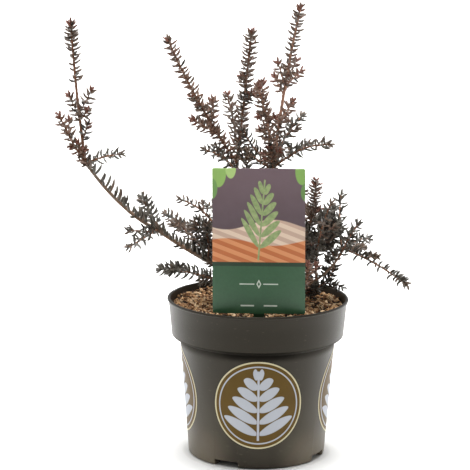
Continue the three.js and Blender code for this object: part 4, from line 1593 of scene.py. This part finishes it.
    def panel(self, finish, settings, u, v):
        """The lower panel: a rule with a lozenge, short bars and a dark stripe along its top."""
        weave = finish.noise(300, 2)
        color = finish.blend(weave, dimmed(settings.panel, 0.88), dimmed(settings.panel, 1.12))
        pale = tint(214, 222, 208)
        side = finish.math("ABSOLUTE", u)
        off_rule = finish.math("ABSOLUTE", v - self.RULE_V)
        rule = finish.step(off_rule, 0.0045, 0.003)
        rule = rule * finish.step(side, 0.42, 0.41) * finish.step(side, 0.09, 0.1)
        from_middle = side * self.U_SHARE + off_rule
        lozenge = finish.step(from_middle, 0.034, 0.03)
        hollow = finish.step(from_middle, 0.018, 0.014)
        bars = finish.step(finish.math("ABSOLUTE", v - 0.055), 0.006, 0.0045)
        bars = bars * finish.step(side, 0.1, 0.11) * finish.step(side, 0.4, 0.39)
        marks = finish.largest(rule, lozenge - hollow, bars)
        stripe = finish.step(v, settings.panel_share - 0.03, settings.panel_share - 0.026)
        color = finish.blend(stripe, color, dimmed(settings.panel, 0.4))
        return finish.blend(marks * 0.85, color, pale)

    def back(self, finish, settings, v):
        """The back: plain pale card with a green foot."""
        fibre = finish.noise(500, 3)
        card = finish.blend(fibre, tint(206, 210, 200), tint(226, 228, 220))
        return finish.blend(finish.step(v, 0.13, 0.125), card, settings.panel)


# ---- Trunk and boughs -------------------------------------------------------------------------


class PODOCARPUS_OT_limbs(bpy.types.Operator):
    """Makes the trunk and boughs as one mesh, grown together at the forks, with bark relief."""

    bl_idname = "podocarpus.limbs"
    bl_label = "Trunk and boughs"

    CUTS = 9

    def execute(self, context):
        settings = context.scene.podocarpus_wood
        limbs = grown_limbs()
        made = [self.limb(name, line, radii) for name, (line, radii) in limbs.items()]
        wood = joined(made, "trunk_and_boughs")
        modified(wood, "REMESH", mode="VOXEL", voxel_size=settings.grain)
        modified(wood, "SMOOTH", factor=0.5, iterations=4)
        self.roughen(wood, settings)
        take(wood)
        bpy.ops.object.shade_smooth()
        handed_over(wood, "bark", self.bark(settings), *limbs)
        return {"FINISHED"}

    def limb(self, name, line, radii):
        """A curve with a round section, its points' radii those of the limb."""
        clear_selection()
        bpy.ops.curve.primitive_bezier_curve_add()
        piece = bpy.context.object
        piece.name = "limb_" + name
        curve = piece.data
        curve.dimensions = "3D"
        curve.bevel_depth = MM
        curve.bevel_resolution = 5
        curve.resolution_u = 6
        curve.use_fill_caps = True
        first, last = curve.splines[0].bezier_points
        for point, place, handle in ((first, line.start, -1), (last, line.end, 1)):
            point.co = place * MM
            inner = place.lerp(line.middle, 2 / 3)
            outer = place * 2 - inner
            point.handle_left_type = "FREE"
            point.handle_right_type = "FREE"
            point.handle_left = (outer if handle < 0 else inner) * MM
            point.handle_right = (inner if handle < 0 else outer) * MM
        bpy.ops.object.mode_set(mode="EDIT")
        bpy.ops.curve.select_all(action="SELECT")
        bpy.ops.curve.subdivide(number_cuts=self.CUTS)
        bpy.ops.object.mode_set(mode="OBJECT")
        count = self.CUTS + 1
        for i, point in enumerate(curve.splines[0].bezier_points):
            point.radius = mix(*radii, i / count)
            if name == "trunk":
                point.radius += TRUNK_FLARE * math.exp(-i / count / TRUNK_FLARE_HEIGHT)
        bpy.ops.object.convert(target="MESH")
        started(piece.name)
        return piece

    def roughen(self, wood, settings):
        for scale, share in ((0.0032, 1.0), (0.0011, 0.45)):
            texture = bpy.data.textures.new("bark ridges", "CLOUDS")
            texture.noise_scale = scale
            modified(
                wood, "DISPLACE", texture=texture, texture_coords="LOCAL",
                strength=settings.relief * share, mid_level=0.5,
            )

    def bark(self, settings):
        finish = Finish("podocarpus bark")
        plates = finish.noise(260, 5, stretch=(1, 1, 0.4))
        cloud = finish.noise(45, 3)
        fine = finish.noise(1400, 3)
        color = finish.blend(plates, dimmed(settings.bark, 0.45), dimmed(settings.bark, 1.5))
        color = finish.blend(finish.step(cloud, 0.48, 0.66) * 0.5, color, tint(126, 112, 98))
        return finish.surface(color, 0.8 + fine * 0.1, plates + fine * 0.4, 0.0004)


# ---- Twigs and leaves ---------------------------------------------------------------------------


def grown_masses(limbs):
    """Every mass with its shoots and the seed that its leaves grow by."""
    for index, mass in enumerate(MASSES):
        seed = 7 * index + 3
        yield mass, shoots_of(mass, seed, limbs), seed + 5000


class PODOCARPUS_OT_twigs(bpy.types.Operator):
    """Makes the twigs that carry the leaves, in three colours of wood."""

    bl_idname = "podocarpus.twigs"
    bl_label = "Twigs"

    SOFT_END = 14

    def execute(self, context):
        settings = context.scene.podocarpus_wood
        heaps = {"brown": Heap(), "rose": Heap(), "russet": Heap()}
        for mass, shoots, _ in grown_masses(grown_limbs()):
            for line, radii, _, rank in shoots:
                if rank == FRINGE_RANK:
                    continue
                wood = mass.get("wood", "brown") if rank < 2 else "russet"
                heaps[wood].add(*twig_tube(line, radii))
        colors = {"brown": settings.twig_brown, "rose": settings.twig_rose, "russet": settings.twig_russet}
        for name, heap in heaps.items():
            piece = heap.mesh("twigs_" + name)
            handed_over(piece, "bark", self.wood(name, colors[name]), *FOLIAGE_NODES)
        return {"FINISHED"}

    def wood(self, name, color):
        finish = Finish(name + " twig wood")
        streak = finish.noise(420, 4)
        cloud = finish.noise(60, 2)
        shade = finish.blend(streak, dimmed(color, 0.6), dimmed(color, 1.35))
        shade = finish.blend(finish.step(cloud, 0.5, 0.7) * 0.35, shade, dimmed(color, 0.55))
        return finish.surface(shade, 0.62 + streak * 0.12, streak, 0.0003)


class PODOCARPUS_OT_leaves(bpy.types.Operator):
    """Makes the leaves, each tint as one mesh."""

    bl_idname = "podocarpus.leaves"
    bl_label = "Leaves"

    KEPT_TINT = 0.6
    END_SHARE = 0.8
    NARROWEST = 0.75

    def execute(self, context):
        settings = context.scene.podocarpus_leaf
        tints = {name: Leaves() for name in TINTS}
        width = settings.width / MM
        thickness = settings.thickness / MM
        usual = settings.length / MM
        for mass, shoots, seed in grown_masses(grown_limbs()):
            draw = numbers(seed)
            bold = mass.get("bold", 1)
            for line, _, bare, rank in shoots:
                spray = picked(TONES[mass["tone"]], draw())
                grown = leaves_on(line, bare, rank, mass, settings, draw)
                for root, heading, breadth, size, hook, twist, closing in grown:
                    stray = draw()
                    name = spray if stray < self.KEPT_TINT else picked(TONES[mass["tone"]], draw())
                    if closing < 0.25 + 0.75 * draw() and draw() < self.END_SHARE:
                        name = END_TINTS[mass["tone"]]
                    broad = mix(self.NARROWEST, 1, clamp(size / usual, 0.5, 1.1))
                    broad = broad * (0.85 + 0.3 * draw()) * bold
                    tints[name].add(
                        root, heading, breadth, size, width * broad, thickness * bold, hook, twist
                    )
        for name, leaves in tints.items():
            piece = leaves.mesh("leaves_" + name)
            handed_over(piece, "foliage", self.blade(name), *FOLIAGE_NODES)
        return {"FINISHED"}

    def blade(self, name):
        finish = Finish(name + " leaf")
        color = TINTS[name]
        cloud = finish.noise(170, 3)
        fine = finish.noise(1800, 2)
        shade = finish.blend(cloud, dimmed(color, 0.62), dimmed(color, 1.4))
        return finish.surface(shade, 0.4 + cloud * 0.12, fine, 0.0001)


# ---- Add-on -------------------------------------------------------------------------------------

BUILD_STEPS = ("stage", "pot", "prints", "mulch", "label", "limbs", "twigs", "leaves")
SETTINGS = {
    "podocarpus_pot": PotSettings,
    "podocarpus_mulch": MulchSettings,
    "podocarpus_label": LabelSettings,
    "podocarpus_wood": WoodSettings,
    "podocarpus_leaf": LeafSettings,
    "podocarpus_stage": StageSettings,
}


class PODOCARPUS_PT_panel(bpy.types.Panel):
    """Lists the building steps and their settings."""

    bl_label = "Potted podocarpus"
    bl_idname = "PODOCARPUS_PT_panel"
    bl_space_type = "VIEW_3D"
    bl_region_type = "UI"
    bl_category = "Podocarpus"

    def draw(self, context):
        for step in BUILD_STEPS:
            self.layout.operator("podocarpus." + step)
        for name in SETTINGS:
            group = getattr(context.scene, name)
            box = self.layout.box()
            for prop in group.bl_rna.properties:
                if prop.identifier not in ("rna_type", "name"):
                    box.prop(group, prop.identifier)


CLASSES = (
    *SETTINGS.values(),
    PODOCARPUS_OT_stage,
    PODOCARPUS_OT_pot,
    PODOCARPUS_OT_prints,
    PODOCARPUS_OT_mulch,
    PODOCARPUS_OT_label,
    PODOCARPUS_OT_limbs,
    PODOCARPUS_OT_twigs,
    PODOCARPUS_OT_leaves,
    PODOCARPUS_PT_panel,
)


def register():
    for made in CLASSES:
        bpy.utils.register_class(made)
    for name, group in SETTINGS.items():
        setattr(bpy.types.Scene, name, PointerProperty(type=group))


def unregister():
    for name in SETTINGS:
        delattr(bpy.types.Scene, name)
    for made in reversed(CLASSES):
        bpy.utils.unregister_class(made)


def main():
    register()
    for step in BUILD_STEPS:
        getattr(bpy.ops.podocarpus, step)()
    boxes = {"cad": CAD_BOX, "visual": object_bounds()}
    {name: [list(corner) for corner in box] for name, box in boxes.items()}


if __name__ == "__main__":
    main()
